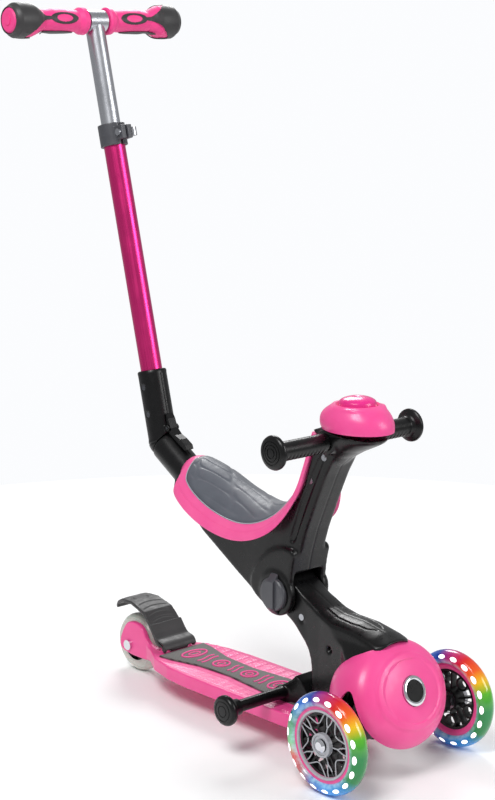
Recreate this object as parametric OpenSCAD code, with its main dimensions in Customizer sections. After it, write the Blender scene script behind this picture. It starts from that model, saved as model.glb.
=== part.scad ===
// Three-wheel kick scooter with a ride-on seat unit and a push bar.
// Millimetres. +Z is up, the scooter rolls towards -Y, and z = 0 is the floor.

/* [Wheels] */
// Distance between the front and rear axles
wheelbase = 470; // [420:1:540]
// Diameter of each front wheel
front_wheel_d = 121; // [110:1:130]
// Diameter of the rear wheel
rear_wheel_d = 80; // [70:1:84]
// Width of every tyre
tyre_w = 24; // [20:0.5:27]
// Distance between the middles of the two front tyres
front_track = 217; // [212:1:260]
// Radius of the axle bolts
axle_r = 4; // [3:0.5:5]

/* [Deck] */
// Full width of the standing deck
deck_w = 116; // [100:1:140]
// Height of the standing surface above the floor
deck_top = 48; // [46:1:60]
// Height of the deck's side skirt
deck_h = 18; // [14:1:18]
// Thickness of the deck's walls and top
deck_wall = 4; // [3:0.5:5]
// Thickness of the rubber mat
mat_t = 2.5; // [1.5:0.5:4]

/* [Steering] */
// How far the kingpin leans forward from upright
kingpin_lean = 40; // [30:1:50]
// Radius of the kingpin
kingpin_r = 5; // [4:0.5:6]
// Radius of the steering lock button
button_r = 13; // [11:0.5:15]
// Travel of the steering lock button
button_travel = 4; // [3:0.5:5]

/* [Seat unit] */
// Full width of the saddle
seat_w = 124; // [110:1:136]
// Thickness of the saddle's hard trim
trim_t = 7; // [5:0.5:9]
// Thickness of the soft seat pad
pad_t = 5; // [3:0.5:7]
// Width of the stem's knuckle between the seat frame's cheeks
knuckle_w = 44; // [38:1:46]
// Thickness of each cheek
cheek_t = 11; // [8:0.5:12]
// Radius of the turning knobs at the seat pivot
knob_r = 21; // [18:0.5:24]
// Full width across the child's small handles
handle_w = 240; // [210:1:260]
// Radius of the child's handle grips
handle_r = 11; // [10:0.5:12.5]

/* [Foot rests] */
// Full width across the foot rests
footrest_w = 264; // [244:1:290]
// Radius of the foot rest bar
footrest_r = 7.5; // [6:0.5:8]

/* [Push bar] */
// Length of outer tube that shows below the clamp
outer_len = 300; // [250:1:360]
// Outside diameter of the outer tube
outer_d = 28.6; // [28:0.1:30]
// Length of inner tube that shows above the clamp
inner_show = 138; // [115:1:170]
// Outside diameter of the inner tube
inner_d = 25.4; // [22:0.1:25.4]
// Wall of both tubes
tube_wall = 1.5; // [1.2:0.1:1.5]
// Lean of the push bar from upright
bar_lean = 14; // [8:0.5:18]
// Full width of the push bar's handlebar
bar_w = 274; // [250:1:320]
// Radius of the handlebar grips at the palm
grip_r = 15.5; // [14:0.5:17]

/* [Fits] */
// Gap between pieces that slide or turn on each other
run_gap = 0.1; // [0.05:0.05:0.15]
// Gap between pieces that only sit together
seat_gap = 0.3; // [0.2:0.05:0.4]

/* [Hidden] */
$fn = 48;
HULL_FN = 28;
ROUND_FN = 64;

// Front and rear axle lines. The origin is under the middle of the whole scooter.
axle_mid_y = -25.5;
front_axle_y = axle_mid_y - wheelbase / 2;
rear_axle_y = axle_mid_y + wheelbase / 2;
front_r = front_wheel_d / 2;
rear_r = rear_wheel_d / 2;
track_x = front_track / 2;
rim_r = front_r - 15.5;
rim_band = 3.2;
bearing_r = 11;
bearing_w = 7;
hub_in_w = 6;
spoke_w = 15;

// Deck outline: half widths against y, front to rear
deck_half = deck_w / 2;
deck_bottom = deck_top - deck_h;
fork_gap = tyre_w / 2 + 3;
fork_t = 7.5;
fork_half = fork_gap + fork_t;
deck_front_y = front_axle_y + 66;
fork_root_y = rear_axle_y - rear_r - 12;

// Steering truck: its pivot point, the barrel on the kingpin and the bracket's two ears
pivot = [0, front_axle_y + 20, front_r + 1];
barrel_r = 14;
barrel_h = 34;
ear_t = 7;
bush_h = 5;
arm_r = 10;
arm_end_x = track_x - tyre_w / 2 - 4;

// Nose: face centre, its tilt above the horizontal and its half sizes
face = [0, front_axle_y - 33, front_r + 45];
face_tilt = 21.5;
nose_half = 76;
nose_wall = 3.5;
plunger_r = 4;
plunger_len = 18;

// Seat pivot, with the rest of the seat unit placed from it
knee = [0, front_axle_y + 168, front_r + 123.5];
knuckle_r = 24;
cheek_r = 28;
knuckle_half = knuckle_w / 2;
cheek_out = knuckle_half + run_gap * 3 + cheek_t;
knob_t = 9;
pivot_bolt_r = 5;

// Saddle centre line from the rear lip to the top of the neck, as rows of
// [y, z, half width, side droop, pad half width], all measured from the knee
sw = seat_w / 2;
SADDLE = [
    [207, 112, sw * 0.30, 10, 0],
    [198, 128, sw * 0.48, 22, sw * 0.10],
    [178, 138, sw * 0.70, 31, sw * 0.42],
    [141, 130, sw * 0.92, 38, sw * 0.70],
    [93, 113, sw, 40, sw * 0.78],
    [43, 103, sw, 35, sw * 0.76],
    [3, 112, sw * 0.88, 27, sw * 0.60],
    [-24, 138, sw * 0.66, 15, sw * 0.28],
    [-39, 168, sw * 0.53, 7, sw * 0.06],
    [-56, 212, sw * 0.5, 3, 0]
];
SADDLE_STEPS = 4;
SADDLE_LANES = 10;

// Child's handle, above the neck
handle_at = knee + [0, -84, 203];
handle_tube_r = 8;
handle_disc_r = 20.5;
handle_disc_t = 9;
handle_root_x = 33;
horn_at = knee + [0, -99, 207];
head_top = knee[2] + 218;
horn_wall = 3.5;
horn_button_r = 25.6;
horn_button_travel = 3;

// Tail socket of the seat frame and the push bar elbow
tail_from = knee + [0, 150, 82];
bend = knee + [0, 251, 145];
tail_r = 21;
elbow_r = 19;
tail_angle = atan2(bend[2] - tail_from[2], bend[1] - tail_from[1]);
plug_r = 15.5;
elbow_up = 94;
tube_in_elbow = 72;

// Push bar stations, measured up the bar from the bend
tube_start = elbow_up - tube_in_elbow;
tube_end = tube_start + tube_in_elbow + outer_len + 18;
collar_h = 29;
collar_r = 18;
collar_at = tube_end - 18;
inner_engaged = 150;
bar_at = collar_at + collar_h + inner_show;
inner_r = inner_d / 2;
outer_r = outer_d / 2;
outer_bore_r = inner_r + run_gap;
bar_tube_r = 11;
tee_r = 14.5;
tee_half = 17;
bar_half = bar_w / 2;
bulb_r = 22.8;
flange_r = 18;
plug_t = 4;

// Foot rest bar, behind the foot of the stem
rest_at = [0, front_axle_y + 153, deck_top + 13.5];
rest_disc_r = 18.8;
rest_disc_t = 12;
stem_half = 24;
foot_half = 32;

// Brake fender: its hinge and the side profile of its upper face, from the rear axle
brake_hinge = [0, rear_axle_y - 73, deck_top + 5];
brake_t = 5;
brake_half = 24;
brake_pin_r = 2.5;

function chaikin(p, n) = n == 0 ? p : chaikin([
    for (i = [0:len(p) - 1], k = [0.25, 0.75])
        p[i] * (1 - k) + p[(i + 1) % len(p)] * k
], n - 1);
function from(o, list) = [for (p = list) [o[1] + p[0], o[2] + p[1]]];
function mirrored(half) = concat(half, [for (i = [len(half) - 1:-1:0]) [-half[i][0], half[i][1]]]);

// Catmull-Rom curve through rows of numbers
function row(t, i) = t[max(0, min(len(t) - 1, i))];
function between(t, i, f) = 0.5 * (
    2 * row(t, i) + (row(t, i + 1) - row(t, i - 1)) * f
    + (2 * row(t, i - 1) - 5 * row(t, i) + 4 * row(t, i + 1) - row(t, i + 2)) * f * f
    + (3 * row(t, i) - row(t, i - 1) - 3 * row(t, i + 1) + row(t, i + 2)) * f * f * f);
function curve(t, n) = concat(
    [for (i = [0:len(t) - 2], k = [0:n - 1]) between(t, i, k / n)], [t[len(t) - 1]]);

saddle = curve(SADDLE, SADDLE_STEPS);
function saddle_way(i) = let (
        a = saddle[max(0, i - 1)], b = saddle[min(len(saddle) - 1, i + 1)],
        d = [b[0] - a[0], b[1] - a[1]])
    d / norm(d);
// A point of the saddle: lane v from -1 to 1, half width w, height h above the centre line's skin
function saddle_point(i, v, w, h) = let (
        s = saddle[i], t = saddle_way(i), drop = h - s[3] * pow(v * w / max(s[2], 1), 2))
    [v * w, knee[1] + s[0] + t[1] * drop, knee[2] + s[1] - t[0] * drop];

// Quads of a closed sheet that has n rows and m lanes, its top layer first
function sheet_faces(n, m) = let (top = n * m) concat(
    [for (i = [0:n - 2], j = [0:m - 2]) [i * m + j, i * m + j + 1, (i + 1) * m + j + 1, (i + 1) * m + j]],
    [for (i = [0:n - 2], j = [0:m - 2])
        [top + i * m + j, top + (i + 1) * m + j, top + (i + 1) * m + j + 1, top + i * m + j + 1]],
    [for (i = [0:n - 2]) [i * m, (i + 1) * m, top + (i + 1) * m, top + i * m]],
    [for (i = [0:n - 2])
        [(i + 1) * m + m - 1, i * m + m - 1, top + i * m + m - 1, top + (i + 1) * m + m - 1]],
    [for (j = [0:m - 2]) [j + 1, j, top + j, top + j + 1]],
    [for (j = [0:m - 2])
        [(n - 1) * m + j, (n - 1) * m + j + 1, top + (n - 1) * m + j + 1, top + (n - 1) * m + j]]);

// Sheet that follows the saddle between two skins, with its half widths from one column of the rows
module saddle_sheet(low, high, column, first, last, push = [0, 0, 0], widen = 1) {
    lanes = [for (j = [0:SADDLE_LANES]) 2 * j / SADDLE_LANES - 1];
    upper = [for (i = [first:last], v = lanes)
        saddle_point(i, v, saddle[i][column] * widen, high) + push];
    lower = [for (i = [first:last], v = lanes)
        saddle_point(i, v, saddle[i][column] * widen, low)];
    polyhedron(concat(upper, lower), sheet_faces(last - first + 1, SADDLE_LANES + 1), convexity = 6);
}

module at_x(x0, x1, y, z, r) {
    translate([x0, y, z]) rotate([0, 90, 0]) cylinder(r = r, h = x1 - x0);
}
// Side profile in y and z, drawn out along x
module side_plate(points, x0, x1) {
    translate([x0, 0, 0]) rotate([90, 0, 90]) linear_extrude(x1 - x0) polygon(points);
}
// Plan profile in x and y, drawn up along z
module plan_plate(points, z0, z1) {
    translate([0, 0, z0]) linear_extrude(z1 - z0) polygon(points);
}
module half(side) {
    intersection() {
        children();
        translate([side > 0 ? 0 : -500, -500, -10]) cube([500, 1000, 1000]);
    }
}
module on_side(side) {
    if (side > 0) mirror([1, 0, 0]) children();
    else children();
}
// Frame of the kingpin: origin at the pivot, +Z up the leaning pin
module on_kingpin() { translate(pivot) rotate([kingpin_lean, 0, 0]) children(); }
// Frame of the nose face: origin at its middle, +Z out of the face
module on_face() { translate(face) rotate([90 - face_tilt, 0, 0]) children(); }
// Frame of the push bar: origin at the bend, +Z up the bar, +Y to its rear
module on_bar() { translate(bend) rotate([-bar_lean, 0, 0]) children(); }
// Frame of the tail: origin at the bend, +Z down the tail towards the knee
module on_tail() { translate(bend) rotate([90 + tail_angle, 0, 0]) children(); }

// ---------------------------------------------------------------- wheels

// Ring about the x axis whose section is given as [distance from the middle, radius]
module wheel_ring(section) {
    rotate([0, 90, 0]) rotate_extrude($fn = ROUND_FN) polygon([for (p = section) [p[1], p[0]]]);
}
function tyre_section(outer, inner, w) = concat(
    [[-w * 0.36, inner], [w * 0.36, inner]],
    [for (a = [-20:20:200]) [w / 2 * cos(a), outer - w / 2 + w / 2 * sin(a)]]);

module tyre(outer, inner) { wheel_ring(tyre_section(outer, inner, tyre_w)); }
module bearing_pair(gap) {
    for (s = [-1, 1]) translate([s * gap, 0, 0]) rotate([0, 90, 0]) difference() {
        cylinder(r = bearing_r, h = bearing_w, center = true);
        cylinder(r = axle_r + run_gap / 2, h = bearing_w + 2, center = true);
    }
}
module front_wheel_at(side) { translate([side * track_x, front_axle_y, front_r]) children(); }

module front_tyre(side) {
    color([0.75, 0.9, 0.95]) front_wheel_at(side) tyre(front_r, rim_r);
}
module front_rim(side) {
    inner = rim_r - rim_band - 4;
    color("hotpink") front_wheel_at(side)
        wheel_ring([[-8, rim_r - 0.2], [8, rim_r - 0.2], [8, rim_r - rim_band],
            [6, inner], [-6, inner], [-8, rim_r - rim_band]]);
}
// Five looped spokes between the hub and the rim
module front_spokes(side) {
    outer = rim_r - rim_band - 4.2;
    loops = 5;
    color([0.13, 0.13, 0.14]) front_wheel_at(side) rotate([0, 90, 0]) difference() {
        union() {
            cylinder(r = bearing_r + 3, h = tyre_w - 4, center = true);
            difference() {
                cylinder(r = outer, h = 11.5, center = true, $fn = ROUND_FN);
                cylinder(r = outer - 3, h = 13, center = true, $fn = ROUND_FN);
            }
            for (k = [0:loops - 1]) rotate([0, 0, k * 360 / loops]) {
                translate([outer - 9, 0, 0]) difference() {
                    cylinder(r = 9, h = 9, center = true);
                    cylinder(r = 6.5, h = 10, center = true);
                }
                translate([bearing_r + 1, -1.2, -4.5]) cube([outer - bearing_r - 17, 2.4, 9]);
                rotate([0, 0, 180 / loops])
                    translate([bearing_r + 1, -1.2, -4.5]) cube([outer - bearing_r - 2, 2.4, 9]);
            }
        }
        for (s = [-1, 1]) translate([0, 0, s * (hub_in_w / 2 + 50)])
            cylinder(r = bearing_r + run_gap / 2, h = 100, center = true);
        cylinder(r = axle_r + 1.5, h = 60, center = true);
    }
}
module front_bearings(side) {
    color("silver") front_wheel_at(side) bearing_pair(hub_in_w / 2 + bearing_w / 2 + 0.1);
}
// Shouldered axle bolt screwed into the truck's arm, with a domed head outside
module front_axle(side) {
    color("gainsboro") front_wheel_at(side) on_side(side) {
        at_x(-tyre_w / 2 + 0.5, arm_end_x - track_x + tyre_w + 24, 0, 0, axle_r);
        translate([-tyre_w / 2 - 2, 0, 0]) rotate([0, 90, 0]) cylinder(r1 = 5, r2 = 8, h = 2.6);
    }
}

module rear_tyre() {
    color([0.86, 0.88, 0.84]) translate([0, rear_axle_y, rear_r]) tyre(rear_r, rear_r - 13);
}
module rear_hub() {
    color([0.13, 0.13, 0.14]) translate([0, rear_axle_y, rear_r]) rotate([0, 90, 0]) difference() {
        union() {
            cylinder(r = rear_r - 13.2, h = 17, center = true, $fn = ROUND_FN);
            cylinder(r = bearing_r + 3, h = 21, center = true);
        }
        for (k = [0:5]) rotate([0, 0, k * 60]) translate([19.5, 0, 0])
            cylinder(r = 4.2, h = 30, center = true);
        for (s = [-1, 1]) translate([0, 0, s * (hub_in_w / 2 + 50)])
            cylinder(r = bearing_r + run_gap / 2, h = 100, center = true);
        cylinder(r = axle_r + 1.5, h = 60, center = true);
    }
}
module rear_bearings() {
    color("silver") translate([0, rear_axle_y, rear_r]) bearing_pair(hub_in_w / 2 + bearing_w / 2 + 0.1);
}
module rear_axle() {
    color("gainsboro") {
        at_x(-fork_half - 0.2, fork_half + 4, rear_axle_y, rear_r, axle_r);
        at_x(-fork_half - 3.5, -fork_half - 0.1, rear_axle_y, rear_r, 7);
        at_x(fork_half + 0.1, fork_half + 5, rear_axle_y, rear_r, 6.5);
    }
}

// ---------------------------------------------------------------- deck

function deck_outline() = mirrored([
    [deck_half * 0.62, deck_front_y], [deck_half * 0.9, deck_front_y + 14],
    [deck_half, deck_front_y + 60], [deck_half, rear_axle_y - 160],
    [deck_half * 0.95, rear_axle_y - 120], [deck_half * 0.78, rear_axle_y - 82],
    [fork_half + 6, fork_root_y - 2], [fork_half, fork_root_y + 14]
]);
function inner_outline() = mirrored([
    [deck_half * 0.62 - deck_wall, deck_front_y + deck_wall],
    [deck_half * 0.9 - deck_wall, deck_front_y + 16],
    [deck_half - deck_wall, deck_front_y + 61], [deck_half - deck_wall, rear_axle_y - 161],
    [deck_half * 0.95 - deck_wall, rear_axle_y - 122], [deck_half * 0.78 - deck_wall, rear_axle_y - 86],
    [fork_half + 2, fork_root_y - 8], [fork_half - 4, fork_root_y - 5]
]);
function fork_profile() = chaikin([
    [fork_root_y - 12, deck_bottom], [fork_root_y - 12, deck_top],
    [rear_axle_y - 40, deck_top + 2], [rear_axle_y - 28, deck_top + 25],
    [rear_axle_y - 4, deck_top + 27], [rear_axle_y + 8, deck_top + 20],
    [rear_axle_y + 21, rear_r + 2], [rear_axle_y + 16, rear_r - 11],
    [rear_axle_y - 22, deck_bottom - 4]
], 2);

// Ribbed tray with two cheeks that hold the rear wheel
module deck() {
    color([0.98, 0.33, 0.6]) difference() {
        union() {
            difference() {
                plan_plate(deck_outline(), deck_bottom, deck_top);
                plan_plate(inner_outline(), deck_bottom - 1, deck_top - deck_wall);
            }
            for (s = [-1, 1]) side_plate(fork_profile(),
                s > 0 ? fork_gap : -fork_half, s > 0 ? fork_half : -fork_gap);
            for (y = [deck_front_y + 60:46:fork_root_y - 30])
                translate([-deck_half * 0.74, y, deck_bottom + 4])
                    cube([deck_half * 1.48, 3, deck_h - 6]);
            translate([-1.5, deck_front_y + 3, deck_bottom + 4])
                cube([3, fork_root_y - deck_front_y - 10, deck_h - 6]);
            for (s = [-1, 1])
                translate([s * (brake_half - 5) - 3.5, brake_hinge[1] - 6, deck_top - 1])
                    cube([7, 12, 12]);
        }
        translate([-fork_gap, fork_root_y, -10]) cube([fork_gap * 2, 200, 200]);
        at_x(-60, 60, rear_axle_y, rear_r, axle_r + run_gap / 2);
        at_x(-60, 60, brake_hinge[1], brake_hinge[2], brake_pin_r + 0.05);
        at_x(-15, 15, brake_hinge[1], brake_hinge[2], 6);
    }
}
module deck_mat() {
    half_line = [
        [30, deck_front_y + 122], [29, rear_axle_y - 280], [21, rear_axle_y - 205],
        [24, rear_axle_y - 150], [36, rear_axle_y - 105], [38, rear_axle_y - 92]
    ];
    color([0.3, 0.3, 0.29]) plan_plate(mirrored(half_line), deck_top + 0.02, deck_top + mat_t);
}

// ---------------------------------------------------------------- brake

function brake_top() = [
    [-83, 4], [-66, 12], [-50, 32], [-36, 46], [-8, 54], [16, 53], [29, 46], [34, 38]
];
function brake_under() = [for (i = [len(brake_top()) - 1:-1:0]) let (
        p = brake_top(), a = p[max(0, i - 1)], b = p[min(len(p) - 1, i + 1)],
        d = (b - a) / norm(b - a))
    p[i] + brake_t * [d[1], -d[0]]];
function brake_profile() = [for (p = concat(brake_top(), brake_under()))
    [rear_axle_y + p[0], deck_top + 1 + p[1]]];

// Foot brake over the rear wheel, sprung up from its hinge
module brake_fender() {
    color([0.3, 0.3, 0.29]) difference() {
        union() {
            intersection() {
                side_plate(brake_profile(), -brake_half - 4, brake_half + 4);
                plan_plate(mirrored([[brake_half + 4, rear_axle_y - 90], [brake_half + 2, rear_axle_y - 50],
                    [brake_half - 2, rear_axle_y + 10], [brake_half - 8, rear_axle_y + 40]]), 0, 200);
            }
            for (s = [-1, 1]) at_x(s > 0 ? brake_half - 12 : 9 - brake_half,
                s > 0 ? brake_half - 9 : 12 - brake_half, brake_hinge[1], brake_hinge[2], 5.5);
        }
        at_x(-60, 60, brake_hinge[1], brake_hinge[2], brake_pin_r + run_gap);
        at_x(-9.4, 9.4, brake_hinge[1], brake_hinge[2], 6);
        for (s = [-1, 1]) translate([s * (brake_half - 5) - 4, brake_hinge[1] - 14, 0])
            cube([8, 22.5, 200]);
    }
}
module brake_pin() {
    color("silver") at_x(2 - brake_half, brake_half - 2, brake_hinge[1], brake_hinge[2], brake_pin_r);
}
// Torsion spring, drawn as its coil's outer shape with two legs
module brake_spring() {
    color("dimgray") difference() {
        union() {
            at_x(-9, 9, brake_hinge[1], brake_hinge[2], 4.6);
            translate([-9, brake_hinge[1] - 3.2, brake_hinge[2] - 4.4]) cube([1.6, 4, 1.6]);
        }
        at_x(-30, 30, brake_hinge[1], brake_hinge[2], brake_pin_r + 0.4);
    }
}

// ---------------------------------------------------------------- steering head

// Fixed bracket that carries the kingpin between two ears
module head_bracket() {
    color([0.14, 0.14, 0.15]) {
        difference() {
            union() {
                on_kingpin() {
                    for (z = [barrel_h / 2 + bush_h + 0.3, -barrel_h / 2 - bush_h - ear_t - 0.3])
                        translate([0, 0, z]) {
                            cylinder(r = 16, h = ear_t);
                            translate([-16, 0, 0]) cube([32, 21, ear_t]);
                        }
                    translate([-16, 19, -barrel_h / 2 - bush_h - ear_t - 0.3])
                        cube([32, 7, barrel_h + 2 * (bush_h + ear_t) + 0.6]);
                }
                side_plate([for (p = [[26, -9], [34, -12], [37, -12.9], [80.5, -12.9], [80.5, -8.5],
                    [51, -7.5], [36, 8]]) [pivot[1] + p[0], deck_top + 13.2 + p[1]]], -20, 20);
            }
            on_kingpin() translate([0, 0, -60])
                cylinder(r = kingpin_r + run_gap / 2, h = 120);
        }
    }
}
kingpin_half = barrel_h / 2 + bush_h + ear_t + 2;
module kingpin() {
    color("silver") on_kingpin() {
        translate([0, 0, -kingpin_half - 6]) cylinder(r = kingpin_r, h = kingpin_half * 2 + 6);
        translate([0, 0, kingpin_half]) cylinder(r = 9, h = 5);
    }
}
module kingpin_nut() {
    color("silver") on_kingpin() translate([0, 0, -kingpin_half - 5.2]) difference() {
        cylinder(r = 8.5, h = 5, $fn = 6);
        translate([0, 0, -1]) cylinder(r = kingpin_r + 0.05, h = 8);
    }
}
// Forked beam that carries both front wheels and swings on the kingpin
module truck() {
    beam = chaikin(mirrored([
        [16, -20.5 + 24], [38, -20.5 + 18], [70, -20.5 + 10], [arm_end_x + 8, -20.5 + 9.5],
        [arm_end_x + 8, -20.5 - 9.5], [70, -20.5 - 10], [34, -20.5 - 4], [14, -15]]), 1);
    front = mirrored([[0, -14], [26, -14], [60, -10], [arm_end_x + 20, -10],
        [arm_end_x + 20, 9], [60, 10], [30, 14], [0, 14]]);
    color([0.14, 0.14, 0.15]) difference() {
        union() {
            on_kingpin() translate([0, 0, -barrel_h / 2]) cylinder(r = barrel_r, h = barrel_h);
            translate(pivot) intersection() {
                translate([0, 0, -40]) linear_extrude(80) polygon(beam);
                rotate([90, 0, 0]) linear_extrude(200, center = true) polygon(front);
                translate([-arm_end_x, -100, -100]) cube([arm_end_x * 2, 200, 200]);
            }
        }
        on_kingpin() {
            translate([0, 0, -60]) cylinder(r = kingpin_r + run_gap, h = 120);
            for (z = [barrel_h / 2 + 0.01, -barrel_h / 2 - 60.01]) translate([0, 0, z])
                cylinder(r = 19, h = 60);
            for (s = [-1, 1]) translate([0, 0, s * (barrel_h / 2 - 3 + 30)])
                cylinder(r = 11.4, h = 60, center = true);
        }
        for (s = [-1, 1]) translate([s > 0 ? arm_end_x - 28 : -arm_end_x - 1, front_axle_y, front_r])
            rotate([0, 90, 0]) cylinder(r = axle_r + run_gap / 2, h = 29);
    }
}
// Rubber bushes that centre the steering, one above and one below the barrel
module truck_bush() {
    color([0.2, 0.2, 0.21]) on_kingpin() for (s = [-1, 1])
        translate([0, 0, s * (barrel_h / 2 - 3 + (bush_h + 3) / 2 + 0.15)]) difference() {
            cylinder(r = 11, h = bush_h + 2.7, center = true);
            cylinder(r = kingpin_r + 0.3, h = 30, center = true);
        }
}

// ---------------------------------------------------------------- nose

// Rings of the nose, front to rear: [depth behind the face, half width, half height]
NOSE = [
    [0, 0.24, 0.26], [1.5, 0.46, 0.48], [5.5, 0.70, 0.71], [12, 0.86, 0.86], [22, 0.96, 0.955],
    [36, 1, 1], [54, 0.98, 0.985], [70, 0.89, 0.90], [86, 0.73, 0.76], [98, 0.55, 0.60]
];
nose_tall = 67;
nose_lanes = 40;
nose = curve(NOSE, 2);
// Ring at row i, drawn in by a wall w
function nose_ring_at(i, w) = let (
        a = nose[max(0, i - 1)], b = nose[min(len(nose) - 1, i + 1)], s = nose[i],
        d = [b[0] - a[0], (b[1] - a[1]) * nose_half], n = [-d[1], d[0]] / norm(d),
        depth = s[0] - n[0] * w * (w > 0 ? -1 : 0))
    [for (k = [0:nose_lanes - 1]) let (t = k * 360 / nose_lanes) [
        (s[1] * nose_half - n[1] * w) * cos(t), (s[2] * nose_tall - n[1] * w) * sin(t),
        -s[0] + min(0, n[0] * w)]];
module ring_shell(rings) {
    n = len(rings);
    m = len(rings[0]);
    polyhedron([for (r = rings, p = r) p], [for (i = [0:n - 1], j = [0:m - 1]) let (
            i2 = (i + 1) % n, j2 = (j + 1) % m)
        [i * m + j, i * m + j2, i2 * m + j2, i2 * m + j]], convexity = 8);
}
// Side line where the nose meets the stem, from the front tip to the deck
function seam() = [
    [-272, 160], [-266, 157], [-251, 151], [-236, 143], [-222, 132], [-211, 119], [-203, 104],
    [-195, 92], [-190, 84], [-188, 66], [-188, deck_top + 0.3]
];
function arch() = [
    [-302, 20], [-291, 48], [-283, 68], [-274, 92], [-266, 109], [-260, 114], [-254, 112],
    [-246, 100], [-238, 84], [-226, 66], [-212, 46], [-200, 34], [-190, 20]
];
function nose_shift(points) = [for (p = points) [p[0] + front_axle_y + 260.5, p[1] + front_r - 60.5]];
module nose_body() {
    last = len(nose) - 1;
    on_face() ring_shell(concat([for (i = [0:last]) nose_ring_at(i, 0)],
        [for (i = [last:-1:0]) nose_ring_at(i, nose_wall)]));
}
module nose_cover() {
    color([0.98, 0.33, 0.6]) difference() {
        nose_body();
        side_plate(nose_shift(concat([for (p = seam()) p + [-0.2, -0.3]], [[-100, 48], [-100, 260],
            [-272, 260]])), -200, 200);
        side_plate(nose_shift(arch()), -200, 200);
        on_face() translate([0, 0, -60]) cylinder(r = button_r + 5.1, h = 120);
    }
}
module nose_ring() {
    color("silver") on_face() difference() {
        translate([0, 0, -16]) cylinder(r = button_r + 4.8, h = 18);
        translate([0, 0, -13]) cylinder(r = button_r + 0.3, h = 20);
        translate([0, 0, -20]) cylinder(r = plunger_r + 0.4, h = 20);
    }
}
// Push button in the middle of the nose, with its plunger
module lock_button() {
    color([0.16, 0.16, 0.17]) on_face() {
        translate([0, 0, -4]) cylinder(r = button_r, h = 6.6);
        translate([0, 0, -plunger_len]) cylinder(r = plunger_r, h = plunger_len);
    }
}
// Return spring, drawn as its coil's outer shape
module lock_spring() {
    color("dimgray") on_face() translate([0, 0, -12.7]) difference() {
        cylinder(r = 8, h = 8.4);
        translate([0, 0, -1]) cylinder(r = plunger_r + 1, h = 20);
    }
}

// ---------------------------------------------------------------- stem

function stem_side() = concat([[-268, 158.5], [-247, 165], [-214, 171], [-180, 172], [-160, 176.5],
        [-143, 184.5], [-126, 192], [-110, 200], [-96, 206]],
    [[-93, 184], [-76, 168], [-95, 159], [-108, 152], [-121, 143], [-132, 134], [-139, 124],
        [-144, 112], [-146, 98], [-147, deck_top + 0.3], [-187.5, deck_top + 0.3], [-187.5, 66],
        [-189.5, 84], [-194.5, 92], [-202.5, 104], [-210.5, 119], [-221.5, 132], [-235.5, 143.2],
        [-250.5, 151.4], [-265.5, 157.6]]);
function stem_core() = [
    [-246, 157], [-214, 167], [-180, 168], [-158, 171.5], [-141, 179], [-124, 184], [-120, 168],
    [-113, 154], [-124, 146], [-136, 133], [-143, 112], [-143.5, 20], [-260, 20], [-260, 140]
];
function stem_plan() = [
    [knuckle_half, -60], [knuckle_half, -136], [stem_half, -160], [28, -186], [31, -205],
    [39, -222], [40, -236], [36, -250], [24, -262], [10, -271]
];
function stem_front() = mirrored([[44, 0], [44, 128], [37, 145], [29, 158], [24, 192], [24, 260]]);
screw_spots = [[-181, 138], [-128, 160], [-166, 62]];
module stem_solid() {
    intersection() {
        side_plate(nose_shift(stem_side()), -60, 60);
        plan_plate([for (p = mirrored(stem_plan())) p + [0, front_axle_y + 260.5]], 0, 300);
        rotate([90, 0, 0]) linear_extrude(1000, center = true) polygon(
            [for (p = stem_front()) p + [0, front_r - 60.5]]);
    }
    at_x(-knuckle_half, knuckle_half, knee[1], knee[2], knuckle_r);
}
function drawn_in(list, d) = [for (p = list) [p[0] - sign(p[0]) * d, p[1]]];
module stem_hollow() {
    intersection() {
        side_plate(nose_shift(stem_core()), -60, 60);
        plan_plate([for (p = drawn_in(mirrored(stem_plan()), 4)) p + [0, front_axle_y + 260.5]], 0, 300);
        rotate([90, 0, 0]) linear_extrude(1000, center = true) polygon(
            [for (p = drawn_in(stem_front(), 4)) p + [0, front_r - 64.5]]);
    }
}
module stem_half_of(side) {
    color([0.12, 0.12, 0.13]) difference() {
        half(side) difference() {
            union() {
                difference() {
                    stem_solid();
                    stem_hollow();
                }
                for (p = nose_shift(screw_spots)) at_x(-stem_half + 1, stem_half - 1, p[0], p[1], 5);
            }
            for (p = nose_shift(screw_spots)) {
                at_x(-60, 60, p[0], p[1], 2.1);
                at_x(-60, 4.1 - stem_half, p[0], p[1], 4.3);
            }
            at_x(-60, 60, knee[1], knee[2], pivot_bolt_r + run_gap / 2);
            at_x(-60, 60, rest_at[1], rest_at[2], footrest_r + 0.4);
            at_x(-27.7, 27.7, rest_at[1], rest_at[2], foot_half * 0.55);
        }
    }
}
module stem_screws() {
    color("gray") for (p = nose_shift(screw_spots)) {
        at_x(4.02 - stem_half, stem_half - 6, p[0], p[1], 2);
        at_x(1.7 - stem_half, 4.02 - stem_half, p[0], p[1], 4.1);
    }
}
module seat_pivot_bolt() {
    color("silver") at_x(-cheek_out - 2, cheek_out + 2, knee[1], knee[2], pivot_bolt_r);
}

// ---------------------------------------------------------------- foot rests

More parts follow.
